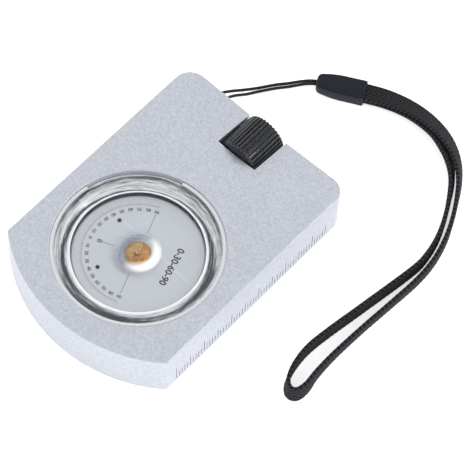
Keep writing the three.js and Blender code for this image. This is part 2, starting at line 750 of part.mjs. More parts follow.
function makeRetainer() {
  const outer = cellInside - SEAT_GAP;
  const high = cellEnd - FLANGE_PROUD;
  return ring(outer - RETAINER_WIDTH, outer, high - RETAINER_THICKNESS, high, MIDDLE_ROUND);
}

function makeSnapRing() {
  const inner = SLEEVE_RADIUS - SNAP_BITE + SEAT_GAP;
  return sector(inner, SLEEVE_RADIUS + SNAP_PROUD, 100, 440, snapZ, snapZ + SNAP_THICKNESS);
}

function makeGuidePin() {
  return rod(GUIDE_PIN_RADIUS, cellInside + SEAT_GAP, SLEEVE_RADIUS + GROOVE_DEPTH, PIN_ROUND)
    .rotateX(-Math.PI / 2);
}

addPiece(eyepiece, 'eyepiece_sleeve', makeSleeve(), 'black_anodised');
addPiece(eyepiece, 'focus_knob', makeKnob(), 'knob_plastic');
addPiece(eyepiece, 'knob_snap_ring', makeSnapRing(), 'steel');
addPiece(eyepiece, 'lens_cell', makeCell(), 'black_anodised');
addPiece(eyepiece, 'eye_lens', makeLens(), 'lens_glass');
addPiece(eyepiece, 'lens_retainer', makeRetainer(), 'black_anodised');
addPiece(eyepiece, 'guide_pin', makeGuidePin(), 'steel', [0, 0, guideZ]);

// ---------------------------------------------------------------- lanyard

// One cord: out of the slider, round the pin in the pocket, and back into the slider
const CORD_ROUTE = [
  [-1.35, 63.2, 2.0],
  [-4.0, 61.8, 1.9],
  [-5.7, 60.6, 1.6],
  [-7.3, 59.1, 1.1],
  [-9.3, 56.7, 0.7],
  [-11.3, 54.4, 0.5],
  [-13.9, 50.5, 0.6],
  [-15.3, 47.3, 1.5],
  [-16.6, 43.9, 3.3],
  [-17.0, 41.0, 4.8],
  [-16.95, 38.0, 5.5],
  [-16.95, 35.3, 5.5],
  [-17.35, 34.1, 5.5],
  [-18.3, 33.65, 5.5],
  [-19.25, 34.1, 5.5],
  [-19.65, 35.3, 5.5],
  [-19.6, 38.0, 5.5],
  [-19.3, 41.0, 4.8],
  [-18.2, 44.3, 3.3],
  [-16.6, 47.9, 1.5],
  [-14.8, 51.1, 0.6],
  [-12.1, 55.1, 0.5],
  [-9.9, 57.6, 0.7],
  [-7.9, 59.9, 1.1],
  [-6.1, 61.5, 1.6],
  [-4.4, 62.6, 1.9],
  [-1.75, 64.0, 2.0],
];

// One flat strap: out of the slider on top, turned on edge round the bend, along the loop and back
// underneath. The last number is how far the strap's outer face has turned from facing up, in degrees.
const STRAP_ROUTE = [
  [4.6, 66.9, 2.6, 0],
  [8.0, 68.7, 2.6, 0],
  [12.5, 71.0, 2.4, 7],
  [18.0, 72.6, 2.5, 16],
  [23.5, 73.1, 2.7, 24],
  [29.0, 72.5, 2.9, 33],
  [34.0, 70.8, 3.2, 47],
  [38.4, 68.1, 3.3, 63],
  [42.1, 64.4, 3.1, 77],
  [45.2, 59.8, 2.8, 86],
  [48.2, 54.4, 2.6, 90],
  [50.7, 48.6, 2.6, 90],
  [52.4, 42.0, 2.6, 92],
  [52.9, 35.0, 2.6, 94],
  [52.4, 26.0, 2.6, 96],
  [51.7, 16.0, 2.6, 96],
  [51.3, 6.0, 2.6, 94],
  [51.5, -1.0, 2.6, 90],
  [52.1, -5.6, 2.6, 84],
  [51.6, -8.6, 2.6, 80],
  [49.7, -9.4, 2.6, 80],
  [47.6, -7.6, 2.6, 84],
  [46.1, -3.4, 2.6, 88],
  [45.5, 2.5, 2.6, 90],
  [46.3, 10.0, 2.6, 90],
  [47.7, 19.0, 2.6, 90],
  [50.2, 36.0, 2.6, 90],
  [50.2, 42.0, 2.6, 90],
  [48.9, 47.8, 2.6, 90],
  [46.5, 53.5, 2.6, 90],
  [43.6, 58.7, 2.6, 94],
  [40.8, 63.0, 2.7, 103],
  [37.4, 66.5, 2.6, 117],
  [33.5, 69.3, 2.3, 133],
  [28.7, 71.6, 1.9, 147],
  [23.4, 72.4, 1.6, 156],
  [18.1, 72.2, 1.3, 164],
  [12.6, 70.9, 1.1, 173],
  [8.0, 68.7, 1.4, 180],
  [4.6, 66.9, 1.4, 180],
];

// Seen from above: square at the strap's end, narrowing to a rounded nose at the cord's
function sliderOutline() {
  const half = SLIDER_LENGTH / 2;
  const side = SLIDER_WIDTH / 2;
  const noseSide = SLIDER_NOSE_WIDTH / 2;
  const noseRound = 1.6;
  const shape = new THREE.Shape();
  shape.moveTo(half, SLIDER_EDGE - side);
  shape.lineTo(half, side - SLIDER_EDGE);
  shape.lineTo(half - SLIDER_EDGE, side);
  shape.lineTo(0, side);
  shape.quadraticCurveTo(noseRound - half, side - 0.1, SLIDER_EDGE - half, noseSide);
  shape.quadraticCurveTo(-half, noseSide - 0.3, -half, noseSide - noseRound);
  shape.lineTo(-half, noseRound - noseSide);
  shape.quadraticCurveTo(-half, 0.3 - noseSide, SLIDER_EDGE - half, -noseSide);
  shape.quadraticCurveTo(noseRound - half, 0.1 - side, 0, -side);
  shape.lineTo(half - SLIDER_EDGE, -side);
  shape.closePath();
  return shape;
}

function makeSlider() {
  const half = SLIDER_LENGTH / 2;
  const middle = SLIDER_HEIGHT / 2;
  const mouth = (from, to, halfWide, halfHigh) =>
    block(from, to, -halfWide, halfWide, middle - halfHigh, middle + halfHigh);
  const strapMouth = mouth(half - STRAP_MOUTH_DEPTH, half + OVERRUN,
    STRAP_WIDTH / 2 + RUNNING_GAP, STRAP_THICKNESS + SLOT_CLEARANCE);
  const cordMouth = mouth(-half - OVERRUN, CORD_MOUTH_DEPTH - half,
    CORD_DIAMETER + SLOT_CLEARANCE, CORD_DIAMETER / 2 + CORD_MOUTH_GAP);
  return cut(plate(sliderOutline(), 0, SLIDER_HEIGHT, SLIDER_EDGE, 6), [strapMouth, cordMouth]);
}

function makeCord() {
  const path = new THREE.CatmullRomCurve3(CORD_ROUTE.map((point) => new THREE.Vector3(...point)));
  const section = circleSection(CORD_DIAMETER / 2, CORD_ROUND);
  return new THREE.ExtrudeGeometry(section, { steps: CORD_STEPS, extrudePath: path });
}

// A flat band swept along the route, its four corners set out from the route's turned frame at each step
function makeStrap() {
  const route = new THREE.CatmullRomCurve3(STRAP_ROUTE.map(([x, y, z]) => new THREE.Vector3(x, y, z)));
  const turns = new THREE.CatmullRomCurve3(STRAP_ROUTE.map((point, i) => new THREE.Vector3(i, point[3], 0)));
  const up = new THREE.Vector3(0, 0, 1);
  const positions = [];
  for (let i = 0; i <= STRAP_STEPS; i += 1) {
    const share = i / STRAP_STEPS;
    const at = route.getPoint(share);
    const left = new THREE.Vector3().crossVectors(up, route.getTangent(share)).normalize();
    const turn = THREE.MathUtils.degToRad(turns.getPoint(share).y);
    const across = left.clone().multiplyScalar(Math.cos(turn)).addScaledVector(up, -Math.sin(turn));
    const out = up.clone().multiplyScalar(Math.cos(turn)).addScaledVector(left, Math.sin(turn));
    for (const [w, t] of [[-1, -1], [1, -1], [1, 1], [-1, 1]]) {
      const corner = at.clone()
        .addScaledVector(across, (w * STRAP_WIDTH) / 2)
        .addScaledVector(out, (t * STRAP_THICKNESS) / 2);
      positions.push(...corner.toArray());
    }
  }
  const index = [];
  for (let i = 0; i < STRAP_STEPS; i += 1) {
    for (let k = 0; k < 4; k += 1) {
      const [a, b] = [4 * i + k, 4 * i + ((k + 1) % 4)];
      index.push(a, b, b + 4, a, b + 4, a + 4);
    }
  }
  const last = 4 * STRAP_STEPS;
  index.push(0, 2, 1, 0, 3, 2, last, last + 1, last + 2, last, last + 2, last + 3);
  const geometry = new THREE.BufferGeometry();
  geometry.setAttribute('position', new THREE.Float32BufferAttribute(positions, 3));
  geometry.setIndex(index);
  return geometry;
}

const lanyard = addGroup(clinometer);
addPiece(lanyard, 'lanyard_pin', rod(PIN_RADIUS, PIN_FOOT_Z, pinTopZ), 'steel', [POCKET_X, pinY, 0]);
addPiece(lanyard, 'lanyard_cord', makeCord(), 'cord_black');
const slider = addPiece(lanyard, 'cord_slider', makeSlider(), 'slider_plastic', [...SLIDER_CENTRE, 0]);
slider.rotation.z = THREE.MathUtils.degToRad(SLIDER_HEADING);
addPiece(lanyard, 'wrist_strap', makeStrap(), 'strap_black');

export default clinometer;
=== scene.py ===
"""Looks for a pocket clinometer: blasted aluminium block, clear capsule, silvered dial, lanyard."""

import math

import bmesh
import bpy
from bpy.props import FloatProperty, FloatVectorProperty, IntProperty, PointerProperty
from mathutils import Matrix, Quaternion, Vector


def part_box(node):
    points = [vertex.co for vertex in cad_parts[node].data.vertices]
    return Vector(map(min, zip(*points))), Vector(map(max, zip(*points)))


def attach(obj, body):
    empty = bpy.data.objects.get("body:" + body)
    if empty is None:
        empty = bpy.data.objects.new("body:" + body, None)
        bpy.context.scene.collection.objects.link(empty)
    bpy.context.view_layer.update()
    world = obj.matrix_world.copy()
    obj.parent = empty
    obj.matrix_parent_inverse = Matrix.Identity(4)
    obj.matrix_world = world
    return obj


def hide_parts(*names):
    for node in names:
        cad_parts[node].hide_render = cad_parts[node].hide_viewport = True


bl_info = {
    "name": "Pocket Clinometer",
    "version": (1, 0, 0),
    "blender": (4, 5, 0),
    "location": "View3D > Sidebar > Clinometer",
    "description": "Builds the finished surfaces of a pocket clinometer around its fixed frame",
    "category": "Add Mesh",
}

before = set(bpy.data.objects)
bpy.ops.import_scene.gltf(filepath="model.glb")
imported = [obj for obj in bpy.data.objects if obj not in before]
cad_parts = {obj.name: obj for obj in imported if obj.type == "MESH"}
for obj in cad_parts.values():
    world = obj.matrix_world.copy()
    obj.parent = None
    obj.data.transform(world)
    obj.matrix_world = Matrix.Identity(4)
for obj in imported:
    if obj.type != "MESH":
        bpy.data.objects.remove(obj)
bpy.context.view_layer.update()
MM = 0.001
UP = Vector((0, 0, 1))
FINE_STEPS = 160
SMALL_STEPS = 96
EDGE_MASK_GAIN = 12
CHEVRON_SLANT = 1.3
WEAVE_LIFT = 0.045


def middle(node):
    low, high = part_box(node)
    return (low + high) / 2


def half_width(node):
    low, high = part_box(node)
    return (high.x - low.x) / 2


# ---------------------------------------------------------------- settings


def length(name, description, millimetres):
    return FloatProperty(
        name=name, description=description, default=millimetres * MM, min=0.0, unit="LENGTH", precision=5
    )


def colour(name, description, red, green, painted_blue_shade):
    return FloatVectorProperty(
        name=name,
        description=description,
        default=(red, green, painted_blue_shade),
        min=0.0,
        max=1.0,
        size=3,
        subtype="COLOR",
    )


def bearing(name, description, degrees):
    return FloatProperty(
        name=name, description=description, default=math.radians(degrees), subtype="ANGLE"
    )


class HousingSettings(bpy.types.PropertyGroup):
    edge_round: length("Edge round", "Radius broken on the block's outer edges", 0.3)
    bore_round: length("Bore round", "Radius broken on the edges of bores and slots", 0.2)
    bore_chamfer: length("Bore chamfer", "Width of the chamfer at the capsule bore's mouth", 0.5)
    mark_width: length("Mark width", "Width of a mark of the engraved rule", 0.24)
    mark_depth: length("Mark depth", "Depth of a mark of the engraved rule", 0.18)
    metal: colour("Metal", "Blasted and clear anodised aluminium", 0.58, 0.6, 0.65)
    engraving: colour("Engraving", "Grey filling of the rule's marks", 0.22, 0.22, 0.25)


class CapsuleSettings(bpy.types.PropertyGroup):
    bevel_width: length("Bevel width", "Width of the window's sloping rim", 3.5)
    bevel_step: length("Bevel step", "Height of the step half way down the rim", 0.25)
    dome_radius: length("Dome radius", "Radius of the bearing dome in the window", 5.9)
    dome_height: length("Dome height", "Height of the bearing dome", 1.1)
    tint: colour("Acrylic", "Tint of the clear acrylic", 0.985, 0.99, 0.99)


class DialSettings(bpy.types.PropertyGroup):
    scale_middle: bearing("Scale middle", "Direction of the scale's zero at rest", 201.5)
    figure_radius: length("Figure circle", "Radius of the circle of figures", 12.75)
    figure_height: length("Figure height", "Height of the figures", 1.25)
    tick_radius: length("Tick circle", "Inner radius of the degree marks", 14.0)
    silver: colour("Silvering", "Silvered face", 0.75, 0.77, 0.81)
    ink: colour("Ink", "Printed scale", 0.012, 0.012, 0.016)
    brass: colour("Brass", "Hub and weight", 0.72, 0.36, 0.06)


class EyepieceSettings(bpy.types.PropertyGroup):
    ribs: IntProperty(name="Ribs", description="Ribs round the knob", default=32, min=8)
    rib_depth: length("Rib depth", "Depth of the grooves between ribs", 0.5)
    black: colour("Black", "Satin black of the knob", 0.004, 0.005, 0.008)


class LanyardSettings(bpy.types.PropertyGroup):
    cord_diameter: length("Cord diameter", "Thin cord of the lanyard", 0.8)
    strap_width: length("Strap width", "Width of the woven strap", 5.0)
    strap_thickness: length("Strap thickness", "Thickness of the woven strap", 1.1)
    weave_pitch: length("Weave pitch", "Distance from one yarn crossing to the next along the strap", 1.3)
    yarn: colour("Yarn", "Black polyester yarn", 0.0075, 0.008, 0.0095)
    plastic: colour("Plastic", "Blue-black plastic of the slider", 0.01, 0.013, 0.019)


class StageSettings(bpy.types.PropertyGroup):
    azimuth: bearing("Azimuth", "Camera's turn about the object", 39.16)
    elevation: bearing("Elevation", "Camera's height angle", 61.09)
    roll: bearing("Roll", "Camera's roll", 3.42)
    distance: length("Distance", "From the camera to the point it looks at", 672.9)
    lens: FloatProperty(name="Lens", description="Focal length in millimetres", default=206.7, min=10.0)
    floor: colour("Floor", "Pale floor", 0.93, 0.93, 0.93)
    floor_glow: FloatProperty(
        name="Floor glow",
        description="Light that the floor gives by itself, as a lit table does",
        default=0.6,
        min=0.0,
    )


GROUPS = {
    "housing": HousingSettings,
    "capsule": CapsuleSettings,
    "dial": DialSettings,
    "eyepiece": EyepieceSettings,
    "lanyard": LanyardSettings,
    "stage": StageSettings,
}


def settings(group):
    return getattr(bpy.context.scene, "clinometer_" + group)


# ---------------------------------------------------------------- routes, in metres like everything here

CORD_ROUTE = [
    (-0.00135, 0.0632, 0.0020),
    (-0.0040, 0.0618, 0.0019),
    (-0.0057, 0.0606, 0.0016),
    (-0.0073, 0.0591, 0.0011),
    (-0.0093, 0.0567, 0.0007),
    (-0.0113, 0.0544, 0.0005),
    (-0.0139, 0.0505, 0.0006),
    (-0.0153, 0.0473, 0.0015),
    (-0.0166, 0.0439, 0.0033),
    (-0.0170, 0.0410, 0.0048),
    (-0.01695, 0.0380, 0.0055),
    (-0.01695, 0.0353, 0.0055),
    (-0.01735, 0.0341, 0.0055),
    (-0.0183, 0.03365, 0.0055),
    (-0.01925, 0.0341, 0.0055),
    (-0.01965, 0.0353, 0.0055),
    (-0.0196, 0.0380, 0.0055),
    (-0.0193, 0.0410, 0.0048),
    (-0.0182, 0.0443, 0.0033),
    (-0.0166, 0.0479, 0.0015),
    (-0.0148, 0.0511, 0.0006),
    (-0.0121, 0.0551, 0.0005),
    (-0.0099, 0.0576, 0.0007),
    (-0.0079, 0.0599, 0.0011),
    (-0.0061, 0.0615, 0.0016),
    (-0.0044, 0.0626, 0.0019),
    (-0.00175, 0.0640, 0.0020),
]

# The last number is how far the strap's outer face has turned from facing up, in degrees.
STRAP_ROUTE = [
    (0.0046, 0.0669, 0.0026, 0),
    (0.0080, 0.0687, 0.0026, 0),
    (0.0125, 0.0710, 0.0024, 7),
    (0.0180, 0.0726, 0.0025, 16),
    (0.0235, 0.0731, 0.0027, 24),
    (0.0290, 0.0725, 0.0029, 33),
    (0.0340, 0.0708, 0.0032, 47),
    (0.0384, 0.0681, 0.0033, 63),
    (0.0421, 0.0644, 0.0031, 77),
    (0.0452, 0.0598, 0.0028, 86),
    (0.0482, 0.0544, 0.0026, 90),
    (0.0507, 0.0486, 0.0026, 90),
    (0.0524, 0.0420, 0.0026, 92),
    (0.0529, 0.0350, 0.0026, 94),
    (0.0524, 0.0260, 0.0026, 96),
    (0.0517, 0.0160, 0.0026, 96),
    (0.0513, 0.0060, 0.0026, 94),
    (0.0515, -0.0010, 0.0026, 90),
    (0.0521, -0.0056, 0.0026, 84),
    (0.0516, -0.0086, 0.0026, 80),
    (0.0497, -0.0094, 0.0026, 80),
    (0.0476, -0.0076, 0.0026, 84),
    (0.0461, -0.0034, 0.0026, 88),
    (0.0455, 0.0025, 0.0026, 90),
    (0.0463, 0.0100, 0.0026, 90),
    (0.0477, 0.0190, 0.0026, 90),
    (0.0502, 0.0360, 0.0026, 90),
    (0.0502, 0.0420, 0.0026, 90),
    (0.0489, 0.0478, 0.0026, 90),
    (0.0465, 0.0535, 0.0026, 90),
    (0.0436, 0.0587, 0.0026, 94),
    (0.0408, 0.0630, 0.0027, 103),
    (0.0374, 0.0665, 0.0026, 117),
    (0.0335, 0.0693, 0.0023, 133),
    (0.0287, 0.0716, 0.0019, 147),
    (0.0234, 0.0724, 0.0016, 156),
    (0.0181, 0.0722, 0.0013, 164),
    (0.0126, 0.0709, 0.0011, 173),
    (0.0080, 0.0687, 0.0014, 180),
    (0.0046, 0.0669, 0.0014, 180),
]


def smooth_line(points, step):
    """Points along a smooth curve through the given ones, about step apart.
    Further numbers are carried along."""
    points = [Vector(p) for p in points]
    ends = [2 * points[0] - points[1], *points, 2 * points[-1] - points[-2]]
    line = []
    for before, start, end, after in zip(ends, ends[1:], ends[2:], ends[3:]):
        spans = max(2, round((end.xyz - start.xyz).length / step))
        for i in range(spans):
            t = i / spans
            line.append(
                start
                + (end - before) * (t / 2)
                + (2 * before - 5 * start + 4 * end - after) * (t * t / 2)
                + (3 * start - before - 3 * end + after) * (t * t * t / 2)
            )
    return [*line, points[-1]]


def line_length(line):
    return sum((b.xyz - a.xyz).length for a, b in zip(line, line[1:]))


# ---------------------------------------------------------------- mesh tools


def turned(profile, steps=128):
    """A solid of revolution about Z, from a list of (radius, height) that runs up its outside."""
    bm = bmesh.new()
    verts = [bm.verts.new((radius, 0, height)) for radius, height in profile]
    edges = [bm.edges.new(pair) for pair in zip(verts, verts[1:])]
    bmesh.ops.spin(
        bm, geom=verts + edges, cent=(0, 0, 0), axis=UP, angle=math.tau, steps=steps, use_merge=True
    )
    tidy(bm)
    return bm


def tidy(bm):
    bmesh.ops.remove_doubles(bm, verts=bm.verts, dist=1e-7)
    bmesh.ops.recalc_face_normals(bm, faces=bm.faces)


def sharp_edges(bm, degrees=28):
    limit = math.radians(degrees)
    return [e for e in bm.edges if len(e.link_faces) == 2 and e.calc_face_angle(0) > limit]


def chains(edges):
    """The edges in groups that touch only each other."""
    left = set(edges)
    while left:
        chain, fresh = [], [left.pop()]
        while fresh:
            edge = fresh.pop()
            chain.append(edge)
            touching = {other for vert in edge.verts for other in vert.link_edges} & left
            left -= touching
            fresh.extend(touching)
        yield chain


def break_edges(bm, width, segments=3, edges=None):
    bmesh.ops.bevel(
        bm,
        geom=sharp_edges(bm) if edges is None else edges,
        offset=width,
        offset_type="OFFSET",
        segments=segments,
        profile=0.5,
        affect="EDGES",
        clamp_overlap=True,
        material=-1,
    )


def box_mesh(low, high):
    low, high = Vector(low), Vector(high)
    bm = bmesh.new()
    place = Matrix.Translation((low + high) / 2) @ Matrix.Diagonal((*(high - low), 1))
    bmesh.ops.create_cube(bm, size=1, matrix=place)
    return bm


def rod_mesh(radius, start, end, segments=SMALL_STEPS):
    """A closed round bar from one point to another."""
    start, end = Vector(start), Vector(end)
    turn = (end - start).to_track_quat("Z", "Y").to_matrix().to_4x4()
    bm = bmesh.new()
    bmesh.ops.create_cone(
        bm,
        cap_ends=True,
        segments=segments,
        radius1=radius,
        radius2=radius,
        depth=(end - start).length,
        matrix=Matrix.Translation((start + end) / 2) @ turn,
    )
    return bm


def moved(bm, offset=(0, 0, 0), turn=None):
    if turn is not None:
        bmesh.ops.transform(bm, matrix=turn, verts=bm.verts)
    bmesh.ops.translate(bm, vec=Vector(offset), verts=bm.verts)
    return bm


def as_object(bm, name, *materials):
    mesh = bpy.data.meshes.new(name)
    bm.to_mesh(mesh)
    bm.free()
    for material in materials:
        mesh.materials.append(material)
    made = bpy.data.objects.new(name, mesh)
    bpy.context.scene.collection.objects.link(made)
    return made


def joined(parts):
    """One bmesh from several, which are used up."""
    whole = bmesh.new()
    for part in parts:
        mesh = bpy.data.meshes.new("part")
        part.to_mesh(mesh)
        part.free()
        whole.from_mesh(mesh)
        bpy.data.meshes.remove(mesh)
    return whole


def carved(bm, cutters, material=None):
    """The solid without the cutters. Faces that a cutter makes take its material."""
    body = as_object(bm, "carved_body")
    body.data.materials.append(None)
    tools = []
    for cutter in cutters:
        tool = as_object(cutter, "cutter", material)
        tools.append(tool)
        change = body.modifiers.new("cut", "BOOLEAN")
        change.operation = "DIFFERENCE"
        change.solver = "EXACT"
        change.material_mode = "TRANSFER"
        change.object = tool
    bpy.context.view_layer.update()
    shape = body.evaluated_get(bpy.context.evaluated_depsgraph_get())
    result = bmesh.new()
    result.from_mesh(bpy.data.meshes.new_from_object(shape))
    for used in [body, *tools]:
        bpy.data.objects.remove(used)
    return result


def finished(bm, name, body, materials, smooth_degrees=30, weighted=False):
    """Makes a bmesh into a piece that rides on a body."""
    made = as_object(bm, name, *materials)
    made.data.polygons.foreach_set("use_smooth", [True] * len(made.data.polygons))
    made.data.set_sharp_from_angle(angle=math.radians(smooth_degrees))
    if weighted:
        even = made.modifiers.new("even_normals", "WEIGHTED_NORMAL")
        even.keep_sharp = True
        even.weight = 100
    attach(made, body)
    return made


def grown(bm, end, first):
    """Grows a bar by one ring from its end face: the new corners and the new end."""
    made = bmesh.ops.extrude_face_region(bm, geom=[end])["geom"]
    if end.is_valid and not first:
        bm.faces.remove(end)
    corners = [g for g in made if isinstance(g, bmesh.types.BMVert)]
    return corners, next(g for g in made if isinstance(g, bmesh.types.BMFace))


def swept(stations, section, around=False):
    """A closed bar. A station is (place, across, out, along); the section lists (across, out) corners.
    UV runs across and along it in metres, or once round it where around is set."""
    bm = bmesh.new()
    corner = bm.verts.layers.int.new("corner")
    along = bm.verts.layers.float.new("along")

    def settle(verts, station):
        place, across, out, distance = station
        for vert in verts:
            a, b = section[vert[corner]]
            vert.co = place + across * a + out * b
            vert[along] = distance

    ring = [bm.verts.new() for _ in section]
    for i, vert in enumerate(ring):
        vert[corner] = i
    settle(ring, stations[0])
    end = bm.faces.new(ring)
    for number, station in enumerate(stations[1:]):
        corners, end = grown(bm, end, first=number == 0)
        settle(corners, station)
    uv = bm.loops.layers.uv.new("UVMap")
    for face in bm.faces:
        corners = [loop.vert[corner] for loop in face.loops]
        wraps = max(corners) - min(corners) > len(section) / 2
        for loop, index in zip(face.loops, corners):
            share = (index + (len(section) if wraps and index == 0 else 0)) / len(section)
            loop[uv].uv = (share if around else section[index][0], loop.vert[along])
    bmesh.ops.recalc_face_normals(bm, faces=bm.faces)
    return bm


# ---------------------------------------------------------------- material tools


class Wire:
    """A shader socket that adds Math nodes when it is used in an expression."""

    def __init__(self, recipe, socket):
        self.recipe = recipe
        self.socket = socket

    def maths(self, operation, *values, clamp=False):
        sockets = dict(enumerate(values))
        made = self.recipe.node("ShaderNodeMath", {"operation": operation, "use_clamp": clamp}, sockets)
        return Wire(self.recipe, made.outputs[0])

    def __add__(self, other):
        return self.maths("ADD", self, other)

    def __sub__(self, other):
        return self.maths("SUBTRACT", self, other)

    def __rsub__(self, other):
        return self.maths("SUBTRACT", other, self)

    def __mul__(self, other):
        return self.maths("MULTIPLY", self, other)

    def __truediv__(self, other):
        return self.maths("DIVIDE", self, other)

    def __pow__(self, other):
        return self.maths("POWER", self, other)

    def __gt__(self, other):
        return self.maths("GREATER_THAN", self, other)

    def __lt__(self, other):
        return self.maths("LESS_THAN", self, other)

    def __abs__(self):
        return self.maths("ABSOLUTE", self)

    __radd__ = __add__
    __rmul__ = __mul__

    def sine(self):
        return self.maths("SINE", self)

    def clamped(self):
        return self.maths("ADD", self, 0.0, clamp=True)


class Recipe:
    """The node tree of a new material, or of the world that is given."""

    def __init__(self, name, owner=None):
        self.material = bpy.data.materials.new(name) if owner is None else owner
        self.material.use_nodes = True
        self.tree = self.material.node_tree
        self.tree.nodes.clear()

    def node(self, kind, options=None, sockets=None):
        made = self.tree.nodes.new(kind)
        for key, value in (options or {}).items():
            if key == "stops":
                while len(made.color_ramp.elements) < len(value):
                    made.color_ramp.elements.new(1.0)
                for element, (position, tone) in zip(made.color_ramp.elements, value):
                    element.position = position
                    element.color = tone
            else:
                setattr(made, key, value)
        for key, value in (sockets or {}).items():
            if isinstance(value, Wire):
                self.tree.links.new(value.socket, made.inputs[key])
            else:
                made.inputs[key].default_value = value
        return made

    def out(self, kind, output=0, options=None, sockets=None):
        return Wire(self, self.node(kind, options, sockets).outputs[output])

    def place(self):
        return self.out("ShaderNodeTexCoord", "Object")

    def axes(self, coordinates):
        """The X, Y and Z of a texture coordinate."""
        split = self.node("ShaderNodeSeparateXYZ", None, {0: self.out("ShaderNodeTexCoord", coordinates)})
        return [Wire(self, socket) for socket in split.outputs]

    def noise(self, size, detail=2.0, where=None, stretch=(1, 1, 1)):
        """Noise whose features are about size metres across."""
        where = self.place() if where is None else where
        if stretch != (1, 1, 1):
            where = self.out("ShaderNodeMapping", 0, None, {"Vector": where, "Scale": stretch})
        sockets = {"Vector": where, "Scale": 1 / size, "Detail": detail, "Roughness": 0.6}
        return self.out("ShaderNodeTexNoise", "Fac", None, sockets)

    def blend(self, share, low, high):
        return self.out(
            "ShaderNodeMix", 2, {"data_type": "RGBA"}, {"Factor": share, 6: as_rgba(low), 7: as_rgba(high)}
        )

    def bump(self, height, depth, strength=1.0):
        return self.out(
            "ShaderNodeBump", "Normal", None, {"Strength": strength, "Distance": depth, "Height": height}
        )

    def edge_wear(self, radius):
        """0 on flat stretches, rising towards 1 along convex and concave edges."""
        rounded = self.out("ShaderNodeBevel", 0, {"samples": 4}, {"Radius": radius})
        facing = self.out("ShaderNodeNewGeometry", "Normal")
        cosine = {"operation": "DOT_PRODUCT"}
        same = self.out("ShaderNodeVectorMath", "Value", cosine, {0: rounded, 1: facing})
        return ((1 - same) * EDGE_MASK_GAIN).clamped()

    def principled(self, **sockets):
        names = {key.replace("_", " "): value for key, value in sockets.items()}
        return self.out("ShaderNodeBsdfPrincipled", 0, None, names)

    def mixed(self, share, first, second):
        return self.out("ShaderNodeMixShader", 0, None, {0: share, 1: first, 2: second})

    def film(self, rgb, ior, roughness, share=None):
        """Clear straight through, with a gloss that a share can thin."""
        clear = self.out("ShaderNodeBsdfTransparent", 0, None, {"Color": (*rgb, 1.0)})
        gloss = self.out("ShaderNodeBsdfGlossy", 0, None, {"Roughness": roughness})
        fresnel = self.out("ShaderNodeFresnel", 0, None, {"IOR": ior})
        return self.mixed(fresnel if share is None else fresnel * share, clear, gloss)

    def surface(self, **sockets):
        return self.output(self.principled(**sockets))

    def output(self, shader):
        self.node("ShaderNodeOutputMaterial", None, {"Surface": shader})
        return self.material


def as_rgba(value):
    return value if isinstance(value, Wire) else (*value, 1.0) if len(value) == 3 else value


def shade(rgb, factor):
    return tuple(min(1.0, c * factor) for c in rgb)


# ---------------------------------------------------------------- materials


def blasted_aluminium(rgb):
    """Fine bead blasting: a tight grain, a slow drift of tone, and broken edges made brighter, partly wear
    and partly a painted highlight.
    """
    r = Recipe("blasted_aluminium")
    grain = r.noise(0.2 * MM, 2.0)
    pits = r.noise(0.55 * MM, 2.0)
    drift = r.noise(9 * MM, 2.0)
    wear_and_highlight = r.edge_wear(0.35 * MM)
    speckle = ((grain * 0.55 + pits * 0.45 - 0.5) * 3.4 + 0.5).clamped()
    tone = r.blend(speckle * 0.85 + drift * 0.15, shade(rgb, 0.74), shade(rgb, 1.2))
    # Edges lifted towards pale grey: part wear, part painted highlight along the edges.
    worn_and_highlit = r.blend(wear_and_highlight * (0.35 + grain * 0.4), tone, (0.86, 0.87, 0.9))
    return r.surface(
        Base_Color=worn_and_highlit,
        Metallic=0.72,
        Roughness=0.4 + grain * 0.2,
        Normal=r.bump(grain + pits, 0.02 * MM),
    )


def engraved_fill(rgb):
    r = Recipe("engraved_fill")
    grain = r.noise(0.12 * MM, 2.0)
    return r.surface(Base_Color=r.blend(grain, shade(rgb, 0.7), shade(rgb, 1.4)), Roughness=0.7)


def clear_acrylic(rgb):
    """Thick clear acrylic that bends what is seen through it."""
    r = Recipe("clear_acrylic")
    scuffs = r.noise(1.4 * MM, 3.0, stretch=(1, 1, 0.3))
    return r.surface(
        Base_Color=(*rgb, 1.0),
        Roughness=0.02 + scuffs * 0.05,
        IOR=1.49,
        Transmission_Weight=1.0,
    )


def white_acrylic():
    """The cup's white moulding, which lights the ring round the dial from below."""
    r = Recipe("white_acrylic")
    cloud = r.noise(2 * MM, 2.0)
    fine = r.noise(0.3 * MM, 2.0)
    return r.surface(
        Base_Color=r.blend(cloud, (0.84, 0.85, 0.87), (0.93, 0.94, 0.95)), Roughness=0.22 + fine * 0.15
    )


def about_axis(r, centre):
    """How far from an upright axis a point is, its angle about it, and its x and y from it."""
    x, y, _ = r.axes("Object")
    x, y = x - centre.x, y - centre.y
    return (x * x + y * y) ** 0.5, y.maths("ARCTAN2", y, x), x, y


def band(share, place, half_width):
    """1 where share is at place, falling to 0 half_width away."""
    return (1 - abs(share - place) / half_width).clamped()


